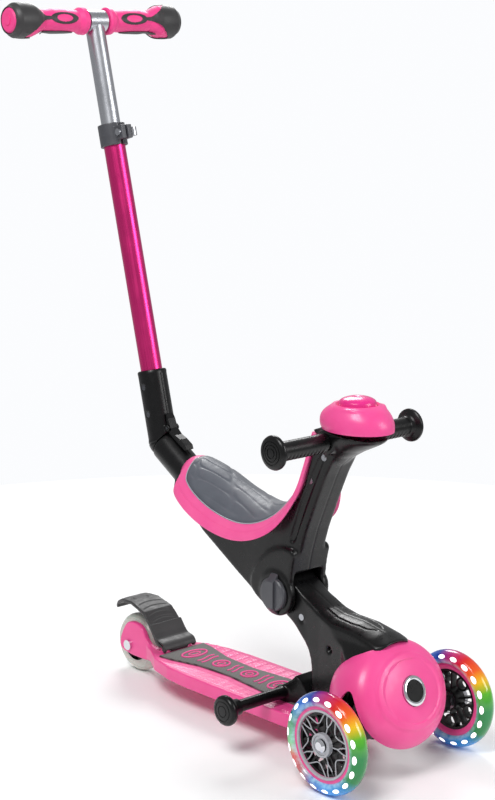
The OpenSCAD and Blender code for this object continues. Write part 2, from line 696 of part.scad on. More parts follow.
// Cross bar with a saddle that sits on the deck behind the stem
module footrest_bar() {
    color([0.14, 0.14, 0.15]) difference() {
        union() {
            at_x(-footrest_w / 2 + 2, footrest_w / 2 - 2, rest_at[1], rest_at[2], footrest_r);
            intersection() {
                side_plate([for (p = [[-35, -13.2], [-34, 2], [-24, 18], [-16, 24], [-10, 17], [0, 10],
                    [11, 5], [20, -2], [22, -13.2]]) [rest_at[1] + p[0], rest_at[2] + p[1]]],
                    -foot_half, foot_half);
                plan_plate(mirrored([[22, rest_at[1] - 36], [27, rest_at[1] - 20],
                    [foot_half, rest_at[1]], [foot_half, rest_at[1] + 22]]), 0, 200);
            }
        }
    }
}
module footrest_end(side) {
    color([0.14, 0.14, 0.15]) translate([side * footrest_w / 2, rest_at[1], rest_at[2]])
        rotate([0, -90 * side, 0]) difference() {
            rotate_extrude() polygon([[0, 0], [rest_disc_r - 5, 0], [rest_disc_r - 1.5, 1],
                [rest_disc_r, 4], [rest_disc_r, 7], [rest_disc_r - 3, rest_disc_t - 1],
                [rest_disc_r - 7, rest_disc_t], [footrest_r + 3.5, rest_disc_t + 1],
                [footrest_r + 2.5, rest_disc_t + 12], [0, rest_disc_t + 12]]);
            translate([0, 0, 1.9]) cylinder(r = footrest_r + 0.05, h = 60);
        }
}

// ---------------------------------------------------------------- seat unit

function rel(list) = [for (p = list) [knee[1] + p[0], knee[2] + p[1]]];
frame_half = 29;
function frame_top() = [for (i = [2:len(saddle) - 1])
    let (w = saddle[i][2], p = saddle_point(i, min(1, (frame_half + 1.2) / max(w, 1)), w, -trim_t - 0.4))
    [p[1] - knee[1], p[2] - knee[2]]];
// Outline of the seat frame in the knee's frame, from under the tail to the handle and back
function frame_side() = concat(
    [[14, -24], [72, 9], [125, 41], [150, 56], [180, 74], [209, 92.5], [206, 104]],
    [for (p = frame_top()) if (p[0] < 192) p],
    [[-58, head_top - knee[2] - 4], [-72, head_top - knee[2]], [-100, head_top - knee[2]],
        [-110, head_top - knee[2] - 8], [-108, 197], [-88, 184], [-73, 158],
        [-57, 123], [-40, 83], [-31, 55], [-26, 36], [-24, 14]]);
function frame_core() = [
    [44, 2], [76, 18], [125, 47], [158, 66], [160, 84], [130, 90], [92, 82], [43, 75], [8, 83],
    [-16, 106], [-32, 134], [-46, 160], [-56, 184], [-68, 184], [-70, 170], [-66, 150], [-51, 120],
    [-34, 80], [-26, 58], [-20, 46], [-8, 40], [16, 37], [32, 20]
];
frame_screws = [[118, 48], [0, 52], [-52, 150], [-75, 182]];
frame_plan = [
    [20, 214], [22, 180], [frame_half, 140], [frame_half, 60], [frame_half + 1, 20],
    [frame_half + 1, -20], [frame_half, -60], [frame_half, -106], [26, -114]
];
module frame_solid() {
    difference() {
        union() {
            intersection() {
                side_plate(rel(frame_side()), -cheek_out, cheek_out);
                plan_plate([for (p = mirrored(frame_plan)) p + [0, knee[1]]], 0, 600);
            }
            at_x(-cheek_out, cheek_out, knee[1], knee[2], cheek_r);
            intersection() {
                side_plate(rel([[14, -24], [60, 2], [40, 40], [0, 70], [-33, 70], [-26, 36], [-24, 14]]),
                    -cheek_out, cheek_out);
                at_x(-cheek_out, cheek_out, knee[1], knee[2], 62);
            }
            on_tail() translate([0, 0, 5]) cylinder(r = tail_r, h = 61);
            at_x(-handle_root_x, handle_root_x, handle_at[1], handle_at[2], 15);
        }
        // Room for the knuckle of the stem between the cheeks
        at_x(-knuckle_half - run_gap * 3, knuckle_half + run_gap * 3, knee[1], knee[2], 31);
        side_plate(rel([[0, 0], [26, 15], [31, -2], [20, -40], [-60, -40], [-60, 28], [-20, 28]]),
            -knuckle_half - run_gap * 3, knuckle_half + run_gap * 3);
        side_plate(rel(frame_core()), 4 - frame_half, frame_half - 4);
        on_tail() translate([0, 0, -60]) cylinder(r = plug_r + run_gap, h = 112);
    }
    for (p = rel(frame_screws)) at_x(1 - frame_half, frame_half - 1, p[0], p[1], 5.5);
}
module frame_half_of(side) {
    color([0.11, 0.11, 0.12]) difference() {
        half(side) difference() {
            frame_solid();
            at_x(-60, 60, knee[1], knee[2], pivot_bolt_r + run_gap);
            at_x(-60, 60, handle_at[1], handle_at[2], handle_tube_r + 0.05);
            for (p = rel(frame_screws)) {
                at_x(-60, 60, p[0], p[1], 2.1);
                at_x(-60, 6.1 - frame_half, p[0], p[1], 4.3);
            }
        }
    }
}
module seat_frame_screws() {
    color("gray") for (p = rel(frame_screws)) {
        at_x(6.02 - frame_half, frame_half - 6, p[0], p[1], 2);
        at_x(3.7 - frame_half, 6.02 - frame_half, p[0], p[1], 4.1);
    }
}
pad_first = SADDLE_STEPS + 2;
pad_last = 8 * SADDLE_STEPS;
module seat_trim() {
    color([0.98, 0.42, 0.66]) difference() {
        saddle_sheet(-trim_t, 0, 2, 0, len(saddle) - 1);
        saddle_sheet(1 - trim_t, 3, 4, pad_first, pad_last, [0, 0, 0], 1.008);
        on_tail() translate([0, 0, -20]) cylinder(r = tail_r + seat_gap, h = 180);
        at_x(-60, 60, handle_at[1], handle_at[2], 17);
    }
}
// Soft pad set into the trim
module seat_pad() {
    color([0.32, 0.34, 0.37]) saddle_sheet(1.05 - trim_t, pad_t - trim_t + 2.5, 4, pad_first + 1,
        pad_last - 1);
}
// Turning knob with a finger bar across its face
module seat_knob_right() {
    color([0.33, 0.33, 0.35]) translate([-cheek_out - 0.3, knee[1], knee[2]]) rotate([0, -90, 0])
        difference() {
            union() {
                rotate_extrude() polygon([[0, 0], [knob_r, 0], [knob_r, knob_t - 5],
                    [knob_r - 1.2, knob_t - 3.4], [knob_r - 4, knob_t - 3], [0, knob_t - 3]]);
                intersection() {
                    translate([0, 0, knob_t / 2]) cube([knob_r * 3, 12, knob_t], center = true);
                    cylinder(r1 = knob_r + 5, r2 = knob_r - 4, h = knob_t);
                }
            }
            translate([0, 0, -1]) cylinder(r = pivot_bolt_r + run_gap, h = 3.2);
        }
}
module pivot_cap_left() {
    color([0.33, 0.33, 0.35]) translate([cheek_out + 0.02, knee[1], knee[2]]) rotate([0, 90, 0])
        difference() {
            rotate_extrude() polygon([[0, 0], [knob_r, 0], [knob_r, 3.5], [knob_r - 3, 6], [0, 6.5]]);
            translate([0, 0, -1]) cylinder(r = pivot_bolt_r + run_gap, h = 3.2);
        }
}
module handle_tube() {
    color("dimgray") at_x(6 - handle_w / 2, handle_w / 2 - 6, handle_at[1], handle_at[2], handle_tube_r);
}
// Ribbed child's grip with a mushroom end
module handle_grip(side) {
    len = handle_w / 2 - handle_root_x - 0.3;
    color([0.13, 0.13, 0.14]) translate([side * handle_w / 2, handle_at[1], handle_at[2]])
        rotate([0, -90 * side, 0]) difference() {
            rotate_extrude() polygon([[0, 0], [handle_disc_r - 6, 0.5], [handle_disc_r - 1.5, 2.5],
                [handle_disc_r, 5.5], [handle_disc_r - 1.5, handle_disc_t], [handle_r + 3, handle_disc_t + 1],
                [handle_r, handle_disc_t + 5], [handle_r, len], [0, len]]);
            translate([0, 0, 5.9]) cylinder(r = handle_tube_r + 0.05, h = 200);
        }
}

// ---------------------------------------------------------------- horn

// Rings of the horn cover, bottom to top: [height, half width, half length, middle's set-back]
HORN = [
    [6, 35.5, 46, 4.5], [10, 37, 48, 5], [16, 38, 49, 5.3], [23, 37.6, 48, 5.6], [30, 35.5, 43.5, 6],
    [36.5, 31.5, 35.5, 6.2], [41, horn_button_r + 0.5, horn_button_r + 0.5, 6]
];
horn_slope = 0.14;
horn_lanes = 32;
horn_rows = curve(HORN, 2);
function horn_ring(i, w) = [for (k = [0:horn_lanes - 1]) let (
        t = k * 360 / horn_lanes, s = horn_rows[i], lift = i > 8 ? w : 0,
        slope = horn_slope * (1 - i / (len(horn_rows) - 1)))
    [(s[1] - w) * cos(t), -s[3] + (s[2] - w) * sin(t), s[0] - lift + slope * (s[2] - w) * sin(t)]];
module horn_cover() {
    last = len(horn_rows) - 1;
    color([0.98, 0.36, 0.62]) difference() {
        union() {
            translate(horn_at) ring_shell(concat(
                [for (i = [last:-1:0]) horn_ring(i, 0)], [for (i = [0:last]) horn_ring(i, horn_wall)]));
            translate([-35.8, horn_at[1] - 10.5, head_top + 0.1]) cube([71.6, 18, 3.2]);
        }
        translate([-200, knee[1] - 110.5, 0]) cube([400, 80, head_top + 0.3]);
    }
}
module horn_button() {
    r = horn_button_r - 3.3;
    color([0.92, 0.16, 0.56]) translate(horn_at + [0, -6, 30]) rotate_extrude() polygon(concat(
        [[0, 4], [0, 20.5]], [for (a = [80:-12:8]) [r * cos(a), 12 + 8.5 * sin(a)]],
        [[r, 12], [r, 4]]));
}

// ---------------------------------------------------------------- elbow

module elbow() {
    color([0.13, 0.13, 0.14]) difference() {
        union() {
            difference() {
                union() {
                    on_bar() cylinder(r = elbow_r, h = elbow_up);
                    translate(bend) sphere(r = elbow_r + 0.6);
                }
                on_tail() translate([0, 0, 4.7]) cylinder(r = 40, h = 40);
            }
            on_tail() translate([0, 0, 2]) cylinder(r = plug_r, h = 46);
            for (s = [-1, 1]) {
                at_x(s > 0 ? 6.4 : -9, s > 0 ? 9 : -6.4, latch_pin[1], latch_pin[2], 4.6);
                on_bar() translate([s > 0 ? 6.6 : -8.8, -latch_out, latch_up - 3.4]) cube([2.2, 10, 6.8]);
            }
        }
        on_bar() translate([0, 0, tube_start]) cylinder(r = outer_r + 0.05, h = 200);
        on_tail() translate([0, 0, 12]) cylinder(r = plug_r - 3.5, h = 60);
        at_x(-30, 30, latch_pin[1], latch_pin[2], 1.7);
        for (z = [38, 74]) on_bar() translate([-40, 0, z]) rotate([0, 90, 0])
            cylinder(r = 4, h = 40 - outer_r - 2);
        for (z = [38, 74]) on_bar() translate([-40, 0, z]) rotate([0, 90, 0]) cylinder(r = 2.1, h = 40);
    }
}
module elbow_pins() {
    color("silver") at_x(-8.8, 8.8, latch_pin[1], latch_pin[2], 1.6);
    color("gray") for (z = [38, 74]) on_bar() translate([0, 0, z]) rotate([0, 90, 0]) {
        translate([0, 0, -outer_r - 4]) cylinder(r = 3.8, h = 1.98);
        translate([0, 0, -outer_r - 2.02]) cylinder(r = 2, h = 6);
    }
}
latch_up = 16.6;
latch_out = 22.2;
latch_pin = bend + [0, latch_up * sin(bar_lean) - latch_out * cos(bar_lean),
    latch_up * cos(bar_lean) + latch_out * sin(bar_lean)];
module elbow_latch() {
    color([0.2, 0.2, 0.21]) difference() {
        side_plate([for (p = [[-12.5, 40], [-17, 34], [-22, 22], [-31, 14], [-41, 10], [-52, 3.5],
            [-54, -2], [-50, -3.5], [-44, 0], [-36, 4.2], [-27, 9.6], [-20, 14], [-15.5, 19],
            [-14, 26], [-13, 35]]) [bend[1] + p[0], bend[2] + p[1]]], -6, 6);
        at_x(-30, 30, latch_pin[1], latch_pin[2], 1.6 + run_gap);
    }
}

// ---------------------------------------------------------------- push bar

module outer_tube() {
    color([0.8, 0.15, 0.45]) on_bar() translate([0, 0, tube_start + 0.1]) difference() {
        cylinder(r = outer_r, h = tube_end - tube_start - 0.1);
        translate([0, 0, -1]) cylinder(r = outer_bore_r, h = 600);
        for (z = [38, 74]) translate([-40, 0, z - tube_start - 0.1]) rotate([0, 90, 0])
            cylinder(r = 2.2, h = 40);
        translate([-1.5, 0, tube_end - tube_start - 30]) cube([3, 40, 60]);
    }
}
lug_y = -25;
lug_mid = collar_at + collar_h / 2;
module clamp_collar() {
    color([0.2, 0.2, 0.21]) on_bar() difference() {
        union() {
            translate([0, 0, collar_at + 0.2]) cylinder(r = collar_r, h = collar_h);
            for (s = [-1, 1]) translate([s > 0 ? 1.5 : -8.5, lug_y - 6, lug_mid - 9]) cube([7, 16, 18]);
        }
        translate([0, 0, collar_at]) cylinder(r = outer_r + 0.05, h = 18.2);
        cylinder(r = inner_r + 0.3, h = 900);
        translate([-1.5, -60, collar_at - 1]) cube([3, 60, 60]);
        translate([-30, lug_y, lug_mid]) rotate([0, 90, 0]) cylinder(r = 2.6, h = 60);
    }
}
module clamp_bolt() {
    color("silver") on_bar() translate([0, lug_y, lug_mid]) rotate([0, 90, 0]) {
        translate([0, 0, -8.8]) cylinder(r = 2.5, h = 17.6);
        translate([0, 0, -11.6]) cylinder(r = 4.6, h = 3);
    }
}
cam_x = 14.2;
// Quick-release lever that curves round the collar
module clamp_lever() {
    color([0.75, 0.76, 0.78]) on_bar() translate([0, 0, lug_mid - 5.5]) {
        translate([cam_x, lug_y, 0]) cylinder(r = 5.2, h = 11);
        difference() {
            intersection() {
                cylinder(r = collar_r + 6, h = 11);
                linear_extrude(11) polygon([[9.8, -30], [34, -30], [34, 16], [12, 16]]);
            }
            translate([0, 0, -1]) cylinder(r = collar_r + 1.8, h = 13);
        }
    }
}
module inner_tube() {
    color("silver") on_bar() difference() {
        translate([0, 0, bar_at - inner_show - inner_engaged])
            cylinder(r = inner_r, h = inner_show + inner_engaged);
        translate([0, 0, bar_at - inner_show - inner_engaged - 1])
            cylinder(r = inner_r - tube_wall, h = 900);
        translate([-60, 0, bar_at]) rotate([0, 90, 0]) cylinder(r = tee_r + 0.02, h = 120);
    }
}
module handlebar_tube() {
    color("silver") on_bar() translate([0, 0, bar_at]) rotate([0, 90, 0]) difference() {
        union() {
            cylinder(r = bar_tube_r, h = bar_w - 14, center = true);
            cylinder(r = tee_r, h = tee_half * 2 - 6, center = true);
        }
        cylinder(r = bar_tube_r - tube_wall, h = bar_w + 10, center = true);
    }
}
// Half profile of the grip, from the tee outwards: [distance from the middle, radius]
function grip_line() = [
    [tee_half, flange_r - 2], [tee_half + 2, flange_r], [tee_half + 8, flange_r - 0.5],
    [tee_half + 14, grip_r - 1.6], [tee_half + 34, grip_r - 0.4], [tee_half + 54, grip_r],
    [tee_half + 70, grip_r - 1.8], [tee_half + 80, grip_r + 2.5], [tee_half + 88, bulb_r - 1.6],
    [tee_half + 98, bulb_r - 1], [bar_half - 10, bulb_r - 1.8], [bar_half - 3, bulb_r - 6],
    [bar_half, bulb_r - 9]
];
module grip(side) {
    color([0.97, 0.27, 0.58]) on_bar() translate([0, 0, bar_at]) rotate([0, 90 * side, 0]) difference() {
        rotate_extrude() polygon(concat([[0, tee_half]], [for (p = grip_line()) [p[1], p[0]]],
            [[0, bar_half]]));
        cylinder(r = bar_tube_r + 0.05, h = bar_half - 6.9);
        translate([0, 0, bar_half - 8]) cylinder(r = 6.05, h = 20);
    }
}
// Dark second-shot skin over the bulb, with windows in it
module grip_overlay(side) {
    line = [for (p = grip_line()) if (p[0] > tee_half + 78 && p[0] < bar_half - 5) p];
    color([0.28, 0.28, 0.3]) on_bar() translate([0, 0, bar_at]) rotate([0, 90 * side, 0]) difference() {
        rotate_extrude() polygon(concat([for (p = line) [p[1] + 0.12, p[0]]],
            [for (i = [len(line) - 1:-1:0]) [line[i][1] + 1, line[i][0]]]));
        for (a = [0, 90]) rotate([0, 0, a]) translate([0, 0, tee_half + 97]) rotate([90, 0, 0])
            cylinder(r = 6, h = 90, center = true);
    }
}
module grip_plugs() {
    color([0.97, 0.27, 0.58]) on_bar() translate([0, 0, bar_at]) for (s = [-1, 1]) rotate([0, 90 * s, 0])
        translate([0, 0, bar_half - 6]) cylinder(r = 6, h = 7);
}

// ---------------------------------------------------------------- assembly

deck();
deck_mat();
nose_cover();
nose_ring();
head_bracket();
kingpin();
kingpin_nut();
stem_half_of(-1);  // stem_shell_right
stem_half_of(1);  // stem_shell_left
stem_screws();
footrest_bar();
footrest_end(-1);  // footrest_end_right
footrest_end(1);  // footrest_end_left
rear_axle();
brake_pin();
brake_spring();
seat_pivot_bolt();
truck();
truck_bush();
front_axle(-1);  // front_axle_right
front_axle(1);  // front_axle_left
front_tyre(-1);  // front_tyre_right
front_rim(-1);  // front_rim_right
front_spokes(-1);  // front_spokes_right
front_bearings(-1);  // front_bearings_right
front_tyre(1);  // front_tyre_left
front_rim(1);  // front_rim_left
front_spokes(1);  // front_spokes_left
front_bearings(1);  // front_bearings_left
rear_tyre();
rear_hub();
rear_bearings();
brake_fender();
lock_button();
lock_spring();
frame_half_of(-1);  // seat_frame_right
frame_half_of(1);  // seat_frame_left
seat_trim();
seat_pad();
seat_frame_screws();
pivot_cap_left();
seat_knob_right();
handle_tube();
handle_grip(-1);  // handle_grip_right
handle_grip(1);  // handle_grip_left
horn_cover();
horn_button();
elbow();
elbow_pins();
elbow_latch();
outer_tube();
clamp_collar();
clamp_bolt();
clamp_lever();
inner_tube();
handlebar_tube();
grip(-1);  // grip_right
grip(1);  // grip_left
for (side = [-1, 1]) grip_overlay(side);  // grip_overlays
grip_plugs();
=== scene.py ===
"""Looks of a child's kick scooter with a seat and a push bar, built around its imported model.

Lengths in this file are in millimetres and angles in degrees, and a mesh turns to metres as it is made.
The scooter's front is towards -Y, its right side is at -X and +Z is up.
"""
import logging
import math
from collections.abc import Callable, Sequence
from dataclasses import dataclass
from enum import Enum

import bmesh
import bpy
import numpy as np
from mathutils import Matrix, Vector


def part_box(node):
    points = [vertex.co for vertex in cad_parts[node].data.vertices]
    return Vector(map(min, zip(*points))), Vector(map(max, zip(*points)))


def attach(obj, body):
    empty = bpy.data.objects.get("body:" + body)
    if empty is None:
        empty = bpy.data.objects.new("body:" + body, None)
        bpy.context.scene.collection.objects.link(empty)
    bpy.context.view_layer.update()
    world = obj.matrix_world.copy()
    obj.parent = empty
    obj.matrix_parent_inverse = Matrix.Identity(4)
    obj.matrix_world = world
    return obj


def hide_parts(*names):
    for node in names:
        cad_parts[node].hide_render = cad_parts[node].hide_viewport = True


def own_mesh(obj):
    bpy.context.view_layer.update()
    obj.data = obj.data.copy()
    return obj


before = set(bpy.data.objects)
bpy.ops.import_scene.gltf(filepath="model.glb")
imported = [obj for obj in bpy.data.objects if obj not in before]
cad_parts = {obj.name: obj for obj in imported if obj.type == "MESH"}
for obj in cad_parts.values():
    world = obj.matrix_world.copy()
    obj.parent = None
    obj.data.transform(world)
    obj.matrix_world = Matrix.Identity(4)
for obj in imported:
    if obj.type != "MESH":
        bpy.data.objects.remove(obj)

LOG = logging.getLogger("scooter")
MM = 0.001
Point2 = tuple[float, float]
Point3 = tuple[float, float, float]
Reshape = Callable[[np.ndarray, np.ndarray], np.ndarray]


class Side(Enum):
    """The two sides of the scooter, by the sign of x."""

    RIGHT = -1
    LEFT = 1

    @property
    def word(self) -> str:
        """The side's name as the model's nodes end."""
        return self.name.lower()


class Plane(Enum):
    """The plane that a flat outline is drawn in: the other axis is the one it is drawn out along."""

    SIDE = "yz"
    PLAN = "xy"
    FRONT = "xz"


# ------------------------------------------------------------------ numbers


def smooth_step(low: float, high: float, value: np.ndarray) -> np.ndarray:
    """A soft ramp from 0 to 1.

    Args:
        low: where the ramp starts.
        high: where it ends.
        value: the numbers to place on it.

    Returns:
        The ramp's height at each number.
    """
    share = np.clip((value - low) / (high - low), 0, 1)
    return share * share * (3 - 2 * share)


def rounded(outline: Sequence[Point2], turns: int) -> list[Point2]:
    """Cuts the corners of a closed outline.

    Args:
        outline: its corners.
        turns: how many times every corner is cut.

    Returns:
        The smoother outline.
    """
    points = [tuple(map(float, p)) for p in outline]
    for _ in range(turns):
        points = [
            tuple(a * (1 - k) + b * k for a, b in zip(points[i], points[(i + 1) % len(points)]))
            for i in range(len(points))
            for k in (0.25, 0.75)
        ]
    return points


def row_at(rows: Sequence[Sequence[float]], t: float) -> np.ndarray:
    """A Catmull-Rom curve through rows of numbers.

    Args:
        rows: the rows it passes through.
        t: the place on it, where row i is at t = i.

    Returns:
        The numbers at that place.
    """
    last = len(rows) - 1
    i = min(int(t), last - 1) if t < last else last - 1
    f = t - i
    a, b, c, d = (np.array(rows[max(0, min(last, i + k))], float) for k in (-1, 0, 1, 2))
    return 0.5 * (
        2 * b + (c - a) * f + (2 * a - 5 * b + 4 * c - d) * f * f + (3 * b - a - 3 * c + d) * f * f * f
    )


def outline_distance(points: np.ndarray, outline: Sequence[Point2]) -> np.ndarray:
    """How far points are from a closed outline.

    Args:
        points: an array of 2-D points.
        outline: the corners.

    Returns:
        The distances, below zero inside.
    """
    ring = np.array(outline, float)
    best = np.full(len(points), 1e9)
    inside = np.zeros(len(points), bool)
    for a, b in zip(ring, np.roll(ring, -1, axis=0)):
        edge = b - a
        share = np.clip((points - a) @ edge / max(edge @ edge, 1e-9), 0, 1)
        best = np.minimum(best, np.linalg.norm(points - a - share[:, None] * edge, axis=1))
        crosses = (a[1] > points[:, 1]) != (b[1] > points[:, 1])
        rise = edge[1] if abs(edge[1]) > 1e-9 else 1e-9
        inside ^= crosses & (points[:, 0] < (points[:, 1] - a[1]) * edge[0] / rise + a[0])
    return np.where(inside, -best, best)


def line_distance(points: np.ndarray, line: Sequence[Point2]) -> np.ndarray:
    """How far points are from an open line.

    Args:
        points: an array of 2-D points.
        line: the line's corners.

    Returns:
        The distances.
    """
    best = np.full(len(points), 1e9)
    for a, b in zip(np.array(line[:-1], float), np.array(line[1:], float)):
        edge = b - a
        share = np.clip((points - a) @ edge / max(edge @ edge, 1e-9), 0, 1)
        best = np.minimum(best, np.linalg.norm(points - a - share[:, None] * edge, axis=1))
    return best


def mirrored(half: Sequence[Point2]) -> list[Point2]:
    """A whole outline from its right half, drawn from one end of the middle line to the other."""
    return list(half) + [(-x, y) for x, y in reversed(half)]


def shifted(outline: Sequence[Point2], by: Point2) -> list[Point2]:
    """The outline moved by a step."""
    return [(p[0] + by[0], p[1] + by[1]) for p in outline]


def place(at: Point3, turn_x: float = 0.0) -> Matrix:
    """A frame at a point, turned about the x axis by an angle in degrees."""
    return Matrix.Translation(at) @ Matrix.Rotation(math.radians(turn_x), 4, "X")


def across(at: Point3, side: Side) -> Matrix:
    """A frame whose +Z points out of the scooter on one side."""
    return Matrix.Translation(at) @ Matrix.Rotation(math.radians(90 * side.value), 4, "Y")


# ------------------------------------------------------------------ meshes


def new_mesh(name: str, points: Sequence, faces: Sequence[Sequence[int]],
        crease: float = 38) -> bpy.types.Object:
    """Makes a shaded mesh object out of points in millimetres.

    Args:
        name: the piece's name.
        points: the points.
        faces: the faces, as the numbers of their points.
        crease: the angle from which an edge stays sharp.

    Returns:
        The object, linked to the scene.
    """
    mesh = bpy.data.meshes.new(name)
    mesh.from_pydata([tuple(float(c) * MM for c in p) for p in points], [], faces)
    made = bpy.data.objects.new(name, mesh)
    bpy.context.scene.collection.objects.link(made)
    return cleaned(made, crease)


def cleaned(piece: bpy.types.Object, crease: float = 38) -> bpy.types.Object:
    """Joins doubled points, turns the faces outwards and shades the mesh.

    Args:
        piece: the mesh object.
        crease: the angle from which an edge stays sharp.

    Returns:
        The same object.
    """
    work = bmesh.new()
    work.from_mesh(piece.data)
    bmesh.ops.remove_doubles(work, verts=work.verts, dist=2e-6)
    bmesh.ops.dissolve_degenerate(work, edges=work.edges, dist=1e-6)
    bmesh.ops.recalc_face_normals(work, faces=work.faces)
    work.to_mesh(piece.data)
    work.free()
    piece.data.shade_smooth()
    piece.data.set_sharp_from_angle(angle=math.radians(crease))
    return piece


def settled(piece: bpy.types.Object) -> bpy.types.Object:
    """Turns the piece's modifiers into its mesh and removes them."""
    graph = bpy.context.evaluated_depsgraph_get()
    fresh = bpy.data.meshes.new_from_object(piece.evaluated_get(graph))
    fresh.name = piece.name
    piece.modifiers.clear()
    piece.data = fresh
    return piece


def worked(piece: bpy.types.Object, tool: bpy.types.Object, operation: str) -> bpy.types.Object:
    """Cuts a piece with another one, which is then removed.

    Args:
        piece: the piece that stays.
        tool: the other one.
        operation: DIFFERENCE, INTERSECT or UNION.

    Returns:
        The piece.
    """
    step = piece.modifiers.new("work", "BOOLEAN")
    step.operation, step.solver, step.object = operation, "EXACT", tool
    settled(piece)
    bpy.data.objects.remove(tool)
    return piece


def joined(name: str, parts: Sequence[bpy.types.Object]) -> bpy.types.Object:
    """Puts several meshes into one object and removes the separate ones.

    Args:
        name: the new piece's name.
        parts: the objects.

    Returns:
        The new object.
    """
    work = bmesh.new()
    for part in parts:
        work.from_mesh(part.data)
        bpy.data.objects.remove(part)
    mesh = bpy.data.meshes.new(name)
    work.to_mesh(mesh)
    work.free()
    made = bpy.data.objects.new(name, mesh)
    bpy.context.scene.collection.objects.link(made)
    return made


def softened(piece: bpy.types.Object, grid: float, rounds: int, share: float = 0.5) -> bpy.types.Object:
    """Makes one skin round everything in a mesh and rounds its edges, as a mould does.

    Args:
        piece: the mesh object.
        grid: the skin's spacing in millimetres.
        rounds: how many times it is smoothed.
        share: how far a point moves each time.

    Returns:
        The piece.
    """
    skin = piece.modifiers.new("skin", "REMESH")
    skin.mode, skin.voxel_size, skin.use_smooth_shade = "VOXEL", grid * MM, True
    if rounds:
        ease = piece.modifiers.new("ease", "SMOOTH")
        ease.iterations, ease.factor = rounds, share
    settled(piece)
    piece.data.shade_smooth()
    return piece


def reshaped(piece: bpy.types.Object, change: Reshape) -> bpy.types.Object:
    """Moves a mesh's points by a rule.

    Args:
        piece: the mesh object.
        change: takes the points and their normals in millimetres and returns the points.

    Returns:
        The piece.
    """
    count = len(piece.data.vertices)
    spots, normals = np.empty(count * 3), np.empty(count * 3)
    piece.data.vertices.foreach_get("co", spots)
    piece.data.vertices.foreach_get("normal", normals)
    fresh = change(spots.reshape(-1, 3) / MM, normals.reshape(-1, 3)) * MM
    piece.data.vertices.foreach_set("co", fresh.ravel())
    piece.data.update()
    return piece


def from_node(name: str, *nodes: str) -> bpy.types.Object:
    """A new piece that starts from the meshes of the model's nodes.

    Args:
        name: the piece's name.
        nodes: the nodes.

    Returns:
        The new object.
    """
    parts = []
    for node_name in nodes:
        copy = bpy.data.objects.new(name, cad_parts[node_name].data.copy())
        bpy.context.scene.collection.objects.link(copy)
        parts.append(copy)
    return cleaned(joined(name, parts))


def prism(name: str, outline: Sequence[Point2], low: float, high: float,
        plane: Plane = Plane.SIDE) -> bpy.types.Object:
    """A flat outline drawn out to a solid.

    Args:
        name: the piece's name.
        outline: the corners, in the plane.
        low: where the solid starts on the other axis.
        high: where it ends.
        plane: the outline's plane.

    Returns:
        The object.
    """
    def spot(p: Point2, level: float) -> Point3:
        """The outline's corner at a level."""
        if plane is Plane.SIDE:
            return (level, p[0], p[1])
        return (p[0], p[1], level) if plane is Plane.PLAN else (p[0], level, p[1])

    n = len(outline)
    points = [spot(p, low) for p in outline] + [spot(p, high) for p in outline]
    faces = [list(range(n))[::-1], list(range(n, 2 * n))]
    faces += [[i, (i + 1) % n, n + (i + 1) % n, n + i] for i in range(n)]
    return new_mesh(name, points, faces)


def turned(name: str, profile: Sequence[Point2], frame_at: Matrix, steps: int = 96,
        ring: bool = False) -> bpy.types.Object:
    """A profile turned about the +Z axis of a frame.

    Args:
        name: the piece's name.
        profile: points as (radius, height).
        frame_at: the frame.
        steps: how many faces go round.
        ring: whether the profile closes on itself.

    Returns:
        The object.
    """
    points = [
        frame_at @ Vector((r * math.cos(a), r * math.sin(a), h))
        for r, h in profile
        for a in (2 * math.pi * k / steps for k in range(steps))
    ]
    rows = len(profile)
    faces = [
        [i * steps + k, i * steps + (k + 1) % steps, j * steps + (k + 1) % steps, j * steps + k]
        for i, j in ([(i, (i + 1) % rows) for i in range(rows)] if ring
            else [(i, i + 1) for i in range(rows - 1)])
        for k in range(steps)
    ]
    return new_mesh(name, points, faces, 32)


def lofted(name: str, rings: Sequence[Sequence], closed: bool = False, capped: bool = True,
        crease: float = 38) -> bpy.types.Object:
    """A skin over rings that have equally many points.

    Args:
        name: the piece's name.
        rings: the rings, each closed on itself.
        closed: whether the last ring joins the first.
        capped: whether the end rings are filled.
        crease: the angle from which an edge stays sharp.

    Returns:
        The object.
    """
    n, m = len(rings), len(rings[0])
    faces = [
        [i * m + k, i * m + (k + 1) % m, ((i + 1) % n) * m + (k + 1) % m, ((i + 1) % n) * m + k]
        for i in range(n if closed else n - 1)
        for k in range(m)
    ]
    if capped and not closed:
        faces += [list(range(m))[::-1], list(range((n - 1) * m, n * m))]
    return new_mesh(name, [p for ring in rings for p in ring], faces, crease)


def rod(name: str, line: Sequence[Sequence[float]], thick: float, closed: bool = False,
        sides: int = 12) -> bpy.types.Object:
    """A round rod along a line.

    Args:
        name: the piece's name.
        line: the points that its middle follows.
        thick: its radius.
        closed: whether the line closes on itself.
        sides: how many faces go round it.

    Returns:
        The object.
    """
    spots = [Vector(p) for p in line]
    n = len(spots)
    rings = []
    for i, spot in enumerate(spots):
        before = spots[i - 1] if closed or i else spot
        after = spots[(i + 1) % n] if closed or i < n - 1 else spot
        way = (after - before).normalized()
        out = way.cross(Vector((0, 0, 1)) if abs(way.z) < 0.9 else Vector((0, 1, 0))).normalized()
        up = out.cross(way)
        rings.append([
            spot + thick * (math.cos(a) * out + math.sin(a) * up)
            for a in (2 * math.pi * k / sides for k in range(sides))
        ])
    return lofted(name, rings, closed=closed, crease=60)


# ------------------------------------------------------------------ finishes


